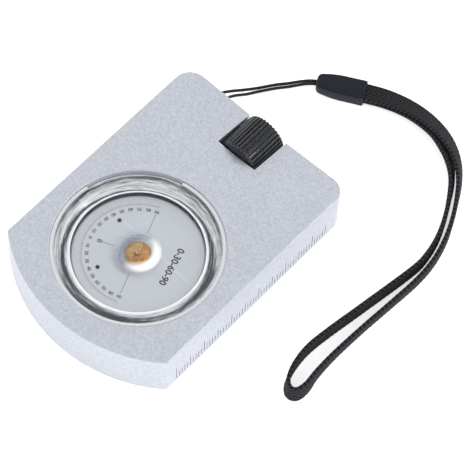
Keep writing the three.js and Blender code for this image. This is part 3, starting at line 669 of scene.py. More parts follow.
def turned_rim(centre, inner, width):
    """The window's sloping rim, fixed on the object: fine turned rings whose light and dark streaks are
    partly painted reflection, a painted white highlight at the inner corner, and a painted dark reflection of
    the bore, wide towards -Y and thin towards +Y, with painted shade along the outer edge, stronger towards
    +Y."""
    r = Recipe("turned_rim")
    radius, angle, x, y = about_axis(r, centre)
    rings_at = r.out("ShaderNodeCombineXYZ", 0, None, {0: radius, 1: angle * MM})
    rings = r.noise(0.16 * MM, 3.0, where=rings_at)
    broad = r.noise(0.9 * MM, 2.0, where=rings_at)
    share = (radius - inner) / width
    near_x, near_y = 0.63, 0.78
    near = (x * near_x - y * near_y) / radius * 0.5 + 0.5
    # Painted dark reflection of the bore, placed further out and wider towards -Y.
    painted_dark_reflection = band(share, near * 0.62 + 0.14, near * 0.48 + 0.08)
    # Painted shade along the outer edge, stronger towards +Y.
    outer = band(share, 1.02, 0.3) * (1.3 - near)
    # Painted white highlight at the inner corner, wider towards -Y.
    corner = band(share, 0.05, near * 0.1 + 0.12)
    # The rim's tone: turned rings and streaks that are partly painted reflection, with the painted bands
    # above.
    light = 0.94 - painted_dark_reflection * 1.15 - outer * 0.75 + (rings - 0.5) * 2.0 + (broad - 0.5) * 2.2 + corner * 0.8
    frosted_with_painted_light = r.principled(
        Base_Color=r.blend(light.clamped(), (0.045, 0.05, 0.06), (0.94, 0.95, 0.97)),
        Metallic=0.25,
        Roughness=0.16 + rings * 0.14,
        Normal=r.bump(rings, 0.03 * MM),
    )
    clear = r.out("ShaderNodeBsdfGlass", 0, None, {"IOR": 1.49, "Roughness": 0.04})
    frosting = 0.78 + corner * 0.2 + (rings - 0.5) * 0.2
    return r.output(r.mixed(frosting, clear, frosted_with_painted_light))


def bearing_dome(centre, radius):
    """The clear dome over the hub, with a painted glow of gathered light on its +X side and painted bluish
    shade on the other.
    """
    r = Recipe("bearing_dome")
    away, _, x, _ = about_axis(r, centre)
    side = x / away
    skirt = band(away / radius, 0.8, 0.27)
    haze = r.noise(1.2 * MM, 2.0)
    glass = r.film((0.97, 0.98, 0.99), 1.45, 0.04)
    painted_glow = r.principled(
        Base_Color=r.blend(haze, (0.93, 0.93, 0.92), (1.0, 1.0, 0.99)),
        Roughness=0.25,
        Emission_Strength=0.22,
    )
    painted_blue_shade = r.principled(Base_Color=r.blend(haze, (0.4, 0.46, 0.55), (0.6, 0.66, 0.74)), Roughness=0.3)
    # Painted glow, white with emission, on the +X side of the skirt; painted bluish shade on the -X side;
    # both fixed on the object.
    lit = r.mixed((skirt * (side * 1.2 + 0.12)).clamped() * 0.92, glass, painted_glow)
    return r.output(r.mixed((skirt * (0.1 - side)).clamped() * 0.6, lit, painted_blue_shade))


def window_pane(rgb):
    """The thin flat of the window, which shows the dial straight through."""
    r = Recipe("window_pane")
    haze = r.noise(3 * MM, 2.0)
    return r.output(r.film(rgb, 1.35, 0.03, 0.5 + haze * 0.3))


def silvered(rgb):
    """A silvered face with a faint turned lustre."""
    r = Recipe("silvered_face")
    fine = r.noise(0.3 * MM, 2.0)
    slow = r.noise(7 * MM, 2.0)
    tone = r.blend(fine * 0.4 + slow * 0.6, shade(rgb, 0.94), shade(rgb, 1.06))
    return r.surface(
        Base_Color=tone,
        Metallic=0.25,
        Roughness=0.38 + fine * 0.1,
        Normal=r.bump(fine, 0.004 * MM),
    )


def printed_ink(rgb):
    r = Recipe("printed_ink")
    patchy = r.noise(0.15 * MM, 2.0)
    return r.surface(Base_Color=r.blend(patchy, rgb, shade(rgb, 2.5)), Roughness=0.6)


def pale_line():
    r = Recipe("pale_line")
    patchy = r.noise(0.3 * MM, 2.0)
    return r.surface(Base_Color=r.blend(patchy, (0.85, 0.86, 0.88), (0.95, 0.95, 0.97)), Roughness=0.45)


def polished_brass(rgb):
    """Turned brass, with fine rings and warm patches."""
    r = Recipe("polished_brass")
    patch = r.noise(1.1 * MM, 3.0)
    fine = r.noise(0.16 * MM, 2.0)
    tone = r.blend(patch, shade(rgb, 0.7), (0.95, 0.62, 0.22))
    return r.surface(
        Base_Color=tone,
        Metallic=0.85,
        Roughness=0.16 + fine * 0.16,
        Normal=r.bump(patch + fine * 0.5, 0.12 * MM),
    )


def mottled_gold():
    """The hub: gilt brass with brown hollows and a few reddish spots."""
    r = Recipe("mottled_gold")
    patch = r.noise(0.95 * MM, 2.0)
    fine = r.noise(0.35 * MM, 2.0)
    spots = r.noise(0.6 * MM, 1.0)
    light = ((patch * 0.7 + fine * 0.3 - 0.5) * 5.0 + 0.52).clamped()
    gilt = r.blend(light, (0.56, 0.19, 0.012), (1.0, 0.56, 0.08))
    tone = r.blend(((spots - 0.6) * 8).clamped() * 0.85, gilt, (0.5, 0.06, 0.03))
    return r.surface(
        Base_Color=tone,
        Metallic=0.3,
        Roughness=0.14 + fine * 0.12,
        Coat_Weight=0.5,
        Normal=r.bump(patch + fine * 0.4, 0.35 * MM),
    )


def bright_steel():
    r = Recipe("bright_steel")
    fine = r.noise(0.2 * MM, 2.0)
    return r.surface(
        Base_Color=r.blend(fine, (0.5, 0.5, 0.53), (0.66, 0.66, 0.68)),
        Metallic=1.0,
        Roughness=0.2 + fine * 0.15,
        Normal=r.bump(fine, 0.004 * MM),
    )


def satin_black(name, rgb, roughness, grain_size, depth, worn_and_highlit=(0.12, 0.12, 0.135), coat=0.0):
    """Black plastic or anodising, its edges blended towards a second colour: rubbed wear when it is dark, a
    painted highlight along the edges when it is pale.
    """
    r = Recipe(name)
    grain = r.noise(grain_size, 3.0)
    wear_and_highlight = r.edge_wear(0.12 * MM)
    tone = r.blend(grain, shade(rgb, 0.7), shade(rgb, 1.5))
    return r.surface(
        Base_Color=r.blend(wear_and_highlight * (0.3 + grain * 0.5), tone, worn_and_highlit),
        Roughness=roughness + grain * 0.12,
        Specular_IOR_Level=0.16,
        Coat_Weight=coat,
        Coat_Roughness=0.1,
        Normal=r.bump(grain, depth),
    )


def amber_jewel():
    r = Recipe("amber_jewel")
    cloud = r.noise(0.4 * MM, 2.0)
    return r.surface(
        Base_Color=r.blend(((cloud - 0.5) * 4 + 0.5).clamped(), (0.6, 0.14, 0.02), (1.0, 0.66, 0.2)),
        Roughness=0.06,
        Coat_Weight=0.8,
    )


def moulded_rubber():
    r = Recipe("moulded_rubber")
    grain = r.noise(0.25 * MM, 3.0)
    return r.surface(
        Base_Color=r.blend(grain, (0.2, 0.2, 0.21), (0.32, 0.32, 0.33)),
        Roughness=0.7 + grain * 0.15,
        Normal=r.bump(grain, 0.02 * MM),
    )


def lens_glass():
    r = Recipe("lens_glass")
    haze = r.noise(2 * MM, 2.0)
    return r.surface(
        Base_Color=(0.93, 0.97, 0.99, 1.0), Roughness=0.005 + haze * 0.01, IOR=1.52, Transmission_Weight=1.0
    )


def braided_cord(rgb, diameter):
    """Yarns laid crosswise round the cord, from its UV: once round, and metres along."""
    r = Recipe("braided_cord")
    around, along, _ = r.axes("UV")
    lay = along * (math.tau * 1.6 / diameter)
    left = (around * (math.tau * 3) + lay).sine()
    right = (around * (math.tau * 3) - lay).sine()
    braid = left.maths("MAXIMUM", left, right)
    fuzz = r.noise(0.1 * MM, 2.0)
    tone = r.blend(braid * 0.35 + fuzz * 0.5, shade(rgb, 0.5), shade(rgb, 3.0))
    return r.surface(
        Base_Color=tone,
        Roughness=0.6 + fuzz * 0.25,
        Specular_IOR_Level=0.3,
        Sheen_Weight=0.08,
        Normal=r.bump(braid, 0.06 * MM),
    )


def woven_strap(rgb, pitch, width):
    """Herringbone webbing, from its UV: metres across and along."""
    r = Recipe("woven_strap")
    across, along, _ = r.axes("UV")
    chevron = (abs(across) * (math.tau * CHEVRON_SLANT / pitch) + along * (math.tau / pitch)).sine()
    yarns = (along * (math.tau * 4.0 / pitch)).sine() * (across * (math.tau * 16 / width)).sine()
    fuzz = r.noise(0.12 * MM, 3.0)
    weave = chevron * 0.5 + yarns * 0.35 + fuzz * 0.5
    tone = r.blend(((weave - 0.25) * 1.1 + 0.25).clamped(), shade(rgb, 0.35), shade(rgb, 5.5))
    return r.surface(
        Base_Color=tone,
        Roughness=0.66 + fuzz * 0.25,
        Specular_IOR_Level=0.22,
        Sheen_Weight=0.05,
        Normal=r.bump(weave, 0.12 * MM),
    )


def floor_paper(rgb, glow):
    r = Recipe("floor_paper")
    drift = r.noise(0.2, 2.0)
    return r.surface(
        Base_Color=r.blend(drift, shade(rgb, 0.99), rgb),
        Roughness=0.9,
        Emission_Color=(1.0, 1.0, 1.0, 1.0),
        Emission_Strength=glow,
    )


def shared(make):
    """The one copy of a material that several operators use."""
    return bpy.data.materials.get(make.__name__) or make()


def dress(node, material):
    """Gives a CAD node that stays its finish."""
    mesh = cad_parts[node].data
    mesh.materials.clear()
    mesh.materials.append(material)


# ---------------------------------------------------------------- housing


class CLINOMETER_OT_housing(bpy.types.Operator):
    """Build the aluminium block with its bores, scoops, slot and engraved rule"""

    bl_idname = "clinometer.housing"
    bl_label = "Housing"

    near_arc_radius = 42.9 * MM
    corner_radius = 4.8 * MM
    play = 0.15 * MM
    slot_gap = 0.3 * MM
    shelf = 3 * MM
    cover_recess = 0.9 * MM
    sight_radius = 2.9 * MM
    pocket_half = 3.2 * MM
    pocket_depth = 5.6 * MM
    pocket_floor = 2.5 * MM
    pocket_roof = 8.5 * MM
    pin_bore = 1.0 * MM
    pin_bore_top = 10.6 * MM
    rule_zero = 13.0 * MM
    rule_foot = 1.3 * MM
    rule_marks_count = 56

    def block(self, low, high, edge):
        """A round billet cut down to the block's outline, with its far corners rounded."""
        bm = bmesh.new()
        radius = self.near_arc_radius
        bmesh.ops.create_cone(
            bm,
            cap_ends=True,
            segments=360,
            radius1=radius,
            radius2=radius,
            depth=high.z - low.z,
            matrix=Matrix.Translation((0, low.y + radius, (low.z + high.z) / 2)),
        )
        sides = (((high.x, 0, 0), (1, 0, 0)), ((low.x, 0, 0), (-1, 0, 0)), ((0, high.y, 0), (0, 1, 0)))
        for point, normal in sides:
            cut = bmesh.ops.bisect_plane(
                bm, geom=[*bm.verts, *bm.edges, *bm.faces], plane_co=point, plane_no=normal, clear_outer=True
            )
            rim = [g for g in cut["geom_cut"] if isinstance(g, bmesh.types.BMEdge)]
            bmesh.ops.edgeloop_fill(bm, edges=rim)
        tidy(bm)
        corners = [
            e
            for e in bm.edges
            if abs(e.verts[0].co.z - e.verts[1].co.z) > edge and min(v.co.y for v in e.verts) > high.y - edge
        ]
        break_edges(bm, self.corner_radius, 14, corners)
        rims = [e for e in sharp_edges(bm) if abs(e.verts[0].co.z - e.verts[1].co.z) < 1e-6]
        break_edges(bm, edge, 3, rims)
        return bm

    def scoop(self, side, far_y, top):
        """Everything above a plane that drops from a fanned-out line towards the far edge."""
        fan, slope, start = 0.29, 0.139, 14.3 * MM
        along = Vector((side, fan, 0)).normalized()
        rise = Vector((-side * slope * fan, slope, 1)).normalized()
        across = rise.cross(along)
        place = Matrix((along, across, rise)).transposed().to_4x4()
        place.translation = (0, far_y - start, top)
        tool = box_mesh((0, -0.06, 0), (0.05, 0.06, 0.012))
        return moved(tool, turn=place)

    def rule_marks(self, low, high, width, depth):
        """One cutter for each millimetre of the rule on the +X side."""
        zero, foot = low.y + self.rule_zero, low.z + self.rule_foot
        marks = []
        for i in range(self.rule_marks_count):
            rise = (5.7 if i % 10 == 0 else 4.4 if i % 5 == 0 else 3.0) * MM
            y = zero + i * MM
            marks.append(
                box_mesh((high.x - depth, y - width / 2, foot), (high.x + MM, y + width / 2, foot + rise))
            )
        return joined(marks)

    def execute(self, context):
        own = settings("housing")
        low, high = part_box("housing")
        capsule = middle("capsule_window")
        capsule_radius = half_width("capsule_window") + self.play
        cover_radius = half_width("capsule_cover") + self.play
        knob_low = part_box("focus_knob")[0]
        knob = middle("focus_knob")
        slot_half = half_width("focus_knob") + self.slot_gap
        pin = middle("lanyard_pin")
        clip_low, clip_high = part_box("capsule_clip")
        clip_radius = half_width("capsule_clip") + 0.1 * MM
        over = high.z + 5 * MM
        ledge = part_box("capsule_gasket")[0].z - 0.05 * MM
        under = -MM

        def upright(radius, bottom, top, segments=FINE_STEPS):
            return rod_mesh(radius, (capsule.x, capsule.y, bottom), (capsule.x, capsule.y, top), segments)

        mouth = turned(
            [
                (0, high.z - own.bore_chamfer),
                (capsule_radius, high.z - own.bore_chamfer),
                (capsule_radius + own.bore_chamfer + MM, high.z + MM),
                (0, high.z + MM),
            ],
            FINE_STEPS,
        )
        tools = [
            moved(mouth, (capsule.x, capsule.y, 0)),
            upright(capsule_radius, ledge, over),
            upright(capsule_radius - self.shelf, under, over),
            upright(cover_radius, under, low.z + self.cover_recess),
            upright(clip_radius, clip_low.z - 0.1 * MM, clip_high.z + 0.1 * MM),
            box_mesh(
                (-slot_half, knob_low.y - self.slot_gap, knob.z - slot_half),
                (slot_half, high.y + MM, over),
            ),
            rod_mesh(self.sight_radius, (0, capsule.y, knob.z), (0, knob_low.y + MM, knob.z), 48),
            box_mesh(
                (pin.x - self.pocket_half, high.y - self.pocket_depth, self.pocket_floor),
                (pin.x + self.pocket_half, high.y + MM, self.pocket_roof),
            ),
            rod_mesh(self.pin_bore, (pin.x, pin.y, under), (pin.x, pin.y, self.pin_bore_top), 32),
            self.scoop(1, high.y, high.z),
            self.scoop(-1, high.y, high.z),
        ]
        bm = carved(self.block(low, high, own.edge_round), tools)
        bmesh.ops.dissolve_degenerate(bm, dist=0.1 * MM, edges=bm.edges)
        bm.normal_update()
        for chain in list(chains(sharp_edges(bm, 40))):
            break_edges(bm, own.bore_round, 2, chain)
        fill = engraved_fill(own.engraving)
        bm = carved(bm, [self.rule_marks(low, high, own.mark_width, own.mark_depth)], fill)
        metal = blasted_aluminium(own.metal)
        made = finished(bm, "housing_block", "housing", [metal, fill], 32, weighted=True)
        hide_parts("housing")
        return {"FINISHED"}


# ---------------------------------------------------------------- capsule


class CLINOMETER_OT_capsule(bpy.types.Operator):
    """Build the capsule: window, cup, clip, cover and hairline"""

    bl_idname = "clinometer.capsule"
    bl_label = "Capsule"

    rim_width = 1.1 * MM
    rim_height = 1.2 * MM
    pane_thickness = 0.9 * MM
    wall = 1.45 * MM
    pane, slope, dome = 1, 2, 3

    def window(self, own, low, high, centre, radius, pane_radius):
        rim = high.z
        pane_top = rim - self.rim_height
        pane_under = pane_top - self.pane_thickness
        inside = radius - self.wall
        step_radius = pane_radius + own.bevel_width / 2
        step = (pane_top + rim) / 2
        cavity_radius = own.dome_radius - MM
        cavity_top = pane_top + own.dome_height - MM
        dome_arc = (own.dome_radius**2 + own.dome_height**2) / (2 * own.dome_height)
        dome_angle = math.asin(own.dome_radius / dome_arc)
        dome = []
        for i in range(12, -1, -1):
            angle = dome_angle * i / 12
            height = pane_top + own.dome_height - dome_arc * (1 - math.cos(angle))
            dome.append((dome_arc * math.sin(angle), height))
        profile = [
            (0, cavity_top),
            (cavity_radius, cavity_top),
            (cavity_radius, pane_under),
            (pane_radius + 0.6 * MM, pane_under),
            (inside, step - 0.3 * MM),
            (inside, low.z),
            (radius, low.z),
            (radius, rim),
            (pane_radius + own.bevel_width, rim),
            (step_radius, step + own.bevel_step / 2),
            (step_radius, step - own.bevel_step / 2),
            (pane_radius, pane_top),
            *dome,
        ]
        bm = turned(profile, FINE_STEPS)
        rings = [e for e in sharp_edges(bm, 18) if (e.verts[0].co.xy.length > own.dome_radius * 0.7)]
        break_edges(bm, 0.08 * MM, 2, rings)
        for face in bm.faces:
            away = face.calc_center_median().xy.length
            if away < pane_radius - 0.1 * MM:
                face.material_index = self.pane if away > own.dome_radius else self.dome
            elif face.normal.z > 0.1:
                face.material_index = self.slope
        return moved(bm, (centre.x, centre.y, 0))

    def clip(self, low, high, centre, radius):
        """A square-wire spring ring with its opening towards the upper left of the face."""
        start, end = math.radians(169), math.radians(462)
        bm = bmesh.new()
        inner, outer = radius - 1.2 * MM, radius
        corners = ((inner, 0, low.z), (outer, 0, low.z), (outer, 0, high.z), (inner, 0, high.z))
        ring = [bm.verts.new(p) for p in corners]
        face = bm.faces.new(ring)
        bmesh.ops.rotate(bm, cent=(0, 0, 0), matrix=Matrix.Rotation(start, 3, "Z"), verts=bm.verts)
        bmesh.ops.spin(bm, geom=[face], cent=(0, 0, 0), axis=UP, angle=end - start, steps=150)
        tidy(bm)
        break_edges(bm, 0.06 * MM, 2, sharp_edges(bm, 40))
        return moved(bm, (centre.x, centre.y, 0))

    def execute(self, context):
        own = settings("capsule")
        low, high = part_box("capsule_window")
        centre = middle("capsule_window")
        radius = half_width("capsule_window")
        pane_radius = radius - self.rim_width - own.bevel_width
        clear = [
            clear_acrylic(own.tint),
            window_pane(own.tint),
            turned_rim(centre, pane_radius, own.bevel_width),
            bearing_dome(centre, own.dome_radius),
        ]
        black = satin_black("black_cover", (0.012, 0.012, 0.014), 0.5, 0.3 * MM, 0.01 * MM)
        window = self.window(own, low, high, centre, radius, pane_radius)
        window = finished(window, "capsule_window_clear", "housing", clear)
        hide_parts("capsule_window")
        clip_low, clip_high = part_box("capsule_clip")
        clip = finished(
            self.clip(clip_low, clip_high, centre, half_width("capsule_clip")),
            "capsule_clip_ring",
            "housing",
            [shared(bright_steel)],
        )
        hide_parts("capsule_clip")
        cover_low, cover_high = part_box("capsule_cover")
        cover_radius = half_width("capsule_cover")
        cover = turned(
            [
                (0, cover_low.z + 0.15 * MM),
                (cover_radius * 0.9, cover_low.z + 0.15 * MM),
                (cover_radius * 0.93, cover_low.z),
                (cover_radius, cover_low.z),
                (cover_radius, cover_high.z),
                (0, cover_high.z),
            ]
        )
        break_edges(cover, 0.08 * MM, 2)
        moved(cover, (centre.x, centre.y, 0))
        cover = finished(cover, "capsule_cover_plate", "housing", [black])
        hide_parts("capsule_cover")
        for node, material in (
            ("capsule_base", white_acrylic),
            ("index_hairline", bright_steel),
            ("capsule_gasket", moulded_rubber),
            ("capsule_seal", moulded_rubber),
            ("filler_plug", moulded_rubber),
            ("front_jewel", amber_jewel),
            ("rear_jewel", amber_jewel),
        ):
            dress(node, shared(material))
        return {"FINISHED"}


# ---------------------------------------------------------------- dial


class CLINOMETER_OT_dial(bpy.types.Operator):
    """Build the silvered dial with its printed scale, hub and rivets"""

    bl_idname = "clinometer.dial"
    bl_label = "Dial"

    def figure(self, text, size, place, turn, thickness, bold=0.02 * MM):
        """Text as a thin mesh, its middle at place, turned about Z."""
        curve = bpy.data.curves.new("figure", "FONT")
        curve.body = text
        curve.size = size
        curve.align_x = "CENTER"
        curve.align_y = "CENTER"
        curve.extrude = thickness / 2
        curve.offset = bold
        curve.resolution_u = 3
        temporary = bpy.data.objects.new("figure", curve)
        bpy.context.scene.collection.objects.link(temporary)
        bpy.context.view_layer.update()
        mesh = bpy.data.meshes.new_from_object(temporary.evaluated_get(bpy.context.evaluated_depsgraph_get()))
        bpy.data.objects.remove(temporary)
        bm = bmesh.new()
        bm.from_mesh(mesh)
        tidy(bm)
        return moved(bm, place, Matrix.Rotation(turn, 4, "Z"))

    def mark(self, angle, inner, outer, width, low, high):
        bar = box_mesh((inner, -width / 2, low), (outer, width / 2, high))
        return moved(bar, turn=Matrix.Rotation(angle, 4, "Z"))

    def printing(self, own, top):
        """Degree marks, figures and cross lines, as a skin of ink on the face."""
        low, high = top + 0.002 * MM, top + 0.02 * MM
        parts = []
        for degree in range(-90, 91, 2):
            angle = own.scale_middle + math.radians(degree)
            tick = (0.9 if degree % 10 == 0 else 0.5) * MM
            parts.append(self.mark(angle, own.tick_radius, own.tick_radius + tick, 0.05 * MM, low, high))
        for degree in range(-90, 90, 2):
            angle = own.scale_middle + math.radians(degree + 1)
            chord = own.tick_radius * math.radians(2.1)
            dash = box_mesh((-0.02 * MM, -chord / 2, low), (0.02 * MM, chord / 2, high))
            moved(dash, (own.tick_radius, 0, 0))
            parts.append(moved(dash, turn=Matrix.Rotation(angle, 4, "Z")))
        for degree in range(-90, 91, 10):
            angle = own.scale_middle + math.radians(degree)
            place = Vector((math.cos(angle), math.sin(angle), 0)) * own.figure_radius
            place.z = (low + high) / 2
            parts.append(
                self.figure(str(abs(degree)), own.figure_height, place, angle + math.pi / 2, high - low)
            )
        for degree, inner, outer in ((-90, 6.2, 12.0), (90, 5.8, 11.8), (0, 6.4, 11.0)):
            angle = own.scale_middle + math.radians(degree)
            parts.append(self.mark(angle, inner * MM, outer * MM, 0.09 * MM, low, high))
        zero = own.scale_middle
        for step in (-1, 1):
            parts.append(self.mark(zero + step * 0.03, 9.6 * MM, 10.9 * MM, 0.22 * MM, low, high))
        place = Vector((8.4 * MM, 3.0 * MM, (low + high) / 2))
        turn = math.radians(-74)
        parts.append(self.figure("0-30-60-90", 2.5 * MM, place, turn, high - low, bold=0.05 * MM))
        return joined(parts)

    def pale_line_bar(self, top):
        """The pale line across the face, past the hub."""
        low, high = top + 0.002 * MM, top + 0.015 * MM
        start, end = Vector((-9.0 * MM, 4.4 * MM)), Vector((16.0 * MM, 2.4 * MM))
        run = end - start
        bar = box_mesh((0, -0.16 * MM, low), (run.length, 0.16 * MM, high))
        return moved(bar, (start.x, start.y, 0), Matrix.Rotation(math.atan2(run.y, run.x), 4, "Z"))

    def execute(self, context):
        own = settings("dial")
        centre = middle("dial_wheel")
        centre.z = 0
        silver, ink = silvered(own.silver), printed_ink(own.ink)
        brass = polished_brass(own.brass)
        face_low, face_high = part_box("dial_face")
        face_radius = half_width("dial_face")
        face = turned(
            [
                (1.7 * MM, face_low.z),
                (face_radius, face_low.z),
                (face_radius, face_high.z - 0.05 * MM),
                (face_radius - 0.05 * MM, face_high.z),
                (1.7 * MM, face_high.z),
                (1.7 * MM, face_low.z),
            ],
            FINE_STEPS,
        )
        face = finished(moved(face, centre), "dial_face_silvered", "dial", [silver])
        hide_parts("dial_face")
        scale = moved(self.printing(own, face_high.z), centre)
        finished(scale, "dial_printing", "dial", [ink])
        line = moved(self.pale_line_bar(face_high.z), centre)
        finished(line, "dial_pale_line", "dial", [pale_line()])

        hub_low, hub_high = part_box("dial_hub")
        hub_radius = half_width("dial_hub")
        shoulder = face_high.z + 0.05 * MM
        head = hub_high.z - shoulder
        hub = turned(
            [
                (0.4 * MM, hub_low.z),
                (1.6 * MM, hub_low.z),
                (1.6 * MM, shoulder),
                (hub_radius, shoulder),
                (hub_radius, shoulder + head * 0.4),
                (hub_radius * 0.85, shoulder + head * 0.75),
                (hub_radius * 0.55, hub_high.z),
                (0.4 * MM, hub_high.z),
                (0.4 * MM, hub_low.z),
            ],
            SMALL_STEPS,
        )
        break_edges(hub, 0.1 * MM, 2)
        hub = finished(moved(hub, centre), "dial_hub_gilt", "dial", [mottled_gold()], 40)
        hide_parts("dial_hub")
        for number in (1, 2):
            node = f"dial_rivet_{number}"
            low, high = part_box(node)
            radius = half_width(node)
            rivet = turned(
                [
                    (0, low.z),
                    (radius * 0.82, low.z),
                    (radius * 0.82, face_high.z + 0.03 * MM),
                    (radius, face_high.z + 0.03 * MM),
                    (radius * 0.93, high.z - 0.04 * MM),
                    (radius * 0.7, high.z),
                    (0, high.z),
                ],
                40,
            )
            spot = middle(node)
            rivet = moved(rivet, (spot.x, spot.y, 0))
            rivet = finished(rivet, node + "_head", "dial", [ink])
            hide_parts(node)
        dress("dial_wheel", silver)
        dress("dial_scale_band", silver)
        dress("dial_weight", brass)
        dress("dial_axle", shared(bright_steel))
        return {"FINISHED"}


# ---------------------------------------------------------------- eyepiece


class CLINOMETER_OT_eyepiece(bpy.types.Operator):
    """Build the ribbed focusing knob, its snap ring, lens cell and lens"""

    bl_idname = "clinometer.eyepiece"
    bl_label = "Eyepiece"

    def knob(self, own, radius, length_along, sleeve_radius):
        """Ribs round a bar along Z from 0, with smooth shoulders, then bored out."""
        per_rib = 8
        depths = (0, 0, 0, 0.05, 0.75, 1, 1, 0.75)
        bm = bmesh.new()
        bmesh.ops.create_circle(bm, cap_ends=True, radius=radius, segments=own.ribs * per_rib)
        part = bm.verts.layers.int.new("part")
        bm.verts.ensure_lookup_table()
        for vert in bm.verts:
            angle = math.atan2(vert.co.y, vert.co.x) % math.tau
            vert[part] = round(angle / math.tau * own.ribs * per_rib) % per_rib
        levels = [
            (0.0, 0.35, 0.0),
            (0.12, 0.12, 0.0),
            (0.35, 0.0, 0.0),
            (0.75, 0.0, 0.3),
            (1.0, 0.0, 1.0),
            (length_along / MM - 0.6, 0.0, 1.0),
            (length_along / MM - 0.3, 0.05, 1.0),
            (length_along / MM - 0.08, 0.2, 0.9),
            (length_along / MM, 0.42, 0.8),
        ]

        def settle(verts, height, inset, share):
            for vert in verts:
                groove = depths[vert[part]] * own.rib_depth * share
                flat = vert.co.xy.normalized() * (radius - inset * MM - groove)
                vert.co = (flat.x, flat.y, height * MM)

        end = bm.faces[:][0]
        settle(bm.verts, *levels[0])
        for number, level in enumerate(levels[1:]):
            corners, end = grown(bm, end, first=number == 0)
            settle(corners, *level)
        tidy(bm)
        bores = [
            rod_mesh(sleeve_radius + 0.15 * MM, (0, 0, -MM), (0, 0, length_along + MM)),
            rod_mesh(sleeve_radius + 1 * MM, (0, 0, length_along - 2.0 * MM), (0, 0, length_along + MM)),
        ]
        return carved(bm, bores)

    def execute(self, context):
        own = settings("eyepiece")
        low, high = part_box("focus_knob")
        axis = middle("focus_knob")
        place = Matrix.Translation((axis.x, low.y, axis.z)) @ Matrix.Rotation(-math.pi / 2, 4, "X")
        # The pale edge colour paints highlight streaks along the rib edges, on top of wear.
        black = satin_black("knob_black", own.black, 0.3, 0.25 * MM, 0.002 * MM, (0.5, 0.51, 0.55), 0.5)
        matt = satin_black("matt_black", (0.01, 0.01, 0.011), 0.6, 0.2 * MM, 0.01 * MM)
        sleeve_radius = half_width("eyepiece_sleeve")
        knob = self.knob(own, half_width("focus_knob"), high.y - low.y, sleeve_radius)
        knob = finished(moved(knob, turn=place), "focus_knob_ribbed", "knob", [black], 35)
        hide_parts("focus_knob")

        def along_axis(bm):
            """From a frame with Z along the optical axis and z as the row's y."""
            turn = Matrix.Translation((axis.x, 0, axis.z)) @ Matrix.Rotation(-math.pi / 2, 4, "X")
            return moved(bm, turn=turn)

        cell_low, cell_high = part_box("lens_cell")
        cell_radius = half_width("lens_cell")
        cell = turned(
            [
                (cell_radius - 0.95 * MM, cell_low.y),
                (cell_radius, cell_low.y),
                (cell_radius, cell_high.y),
                (cell_radius - 0.55 * MM, cell_high.y),
                (cell_radius - 0.55 * MM, cell_high.y - 2.5 * MM),
                (cell_radius - 0.95 * MM, cell_high.y - 2.5 * MM),
                (cell_radius - 0.95 * MM, cell_low.y),
            ],
            SMALL_STEPS,
        )
        break_edges(cell, 0.08 * MM, 2)
        cell = finished(along_axis(cell), "lens_cell_tube", "lens", [matt])
        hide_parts("lens_cell")
        ring_low, ring_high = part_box("lens_retainer")
        ring_radius = half_width("lens_retainer")
        ring = turned(
            [
                (ring_radius - 0.4 * MM, ring_low.y),
                (ring_radius, ring_low.y),
                (ring_radius, ring_high.y),
                (ring_radius - 0.2 * MM, ring_high.y),
                (ring_radius - 0.4 * MM, ring_low.y + 0.15 * MM),
                (ring_radius - 0.4 * MM, ring_low.y),
            ],
            SMALL_STEPS,
        )
        ring = finished(along_axis(ring), "lens_retainer_ring", "lens", [matt])
        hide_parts("lens_retainer")
        lens_low, lens_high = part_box("eye_lens")
        lens_radius = half_width("eye_lens")
        lens_middle = (lens_low.y + lens_high.y) / 2
        half = (lens_high.y - lens_low.y) / 2
        bulge = 0.45 * MM
        back = [(lens_radius * i / 10, lens_middle - half + bulge * (i / 10) ** 2) for i in range(11)]
        front = [
            (lens_radius * i / 10, lens_middle + half - bulge * (i / 10) ** 2) for i in range(10, -1, -1)
        ]
        lens = along_axis(turned([*back, *front], SMALL_STEPS))
        lens = finished(lens, "eye_lens_glass", "lens", [lens_glass()])
        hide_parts("eye_lens")
        dress("eyepiece_sleeve", matt)
        dress("knob_snap_ring", shared(bright_steel))
        dress("guide_pin", shared(bright_steel))
        return {"FINISHED"}


# ---------------------------------------------------------------- lanyard


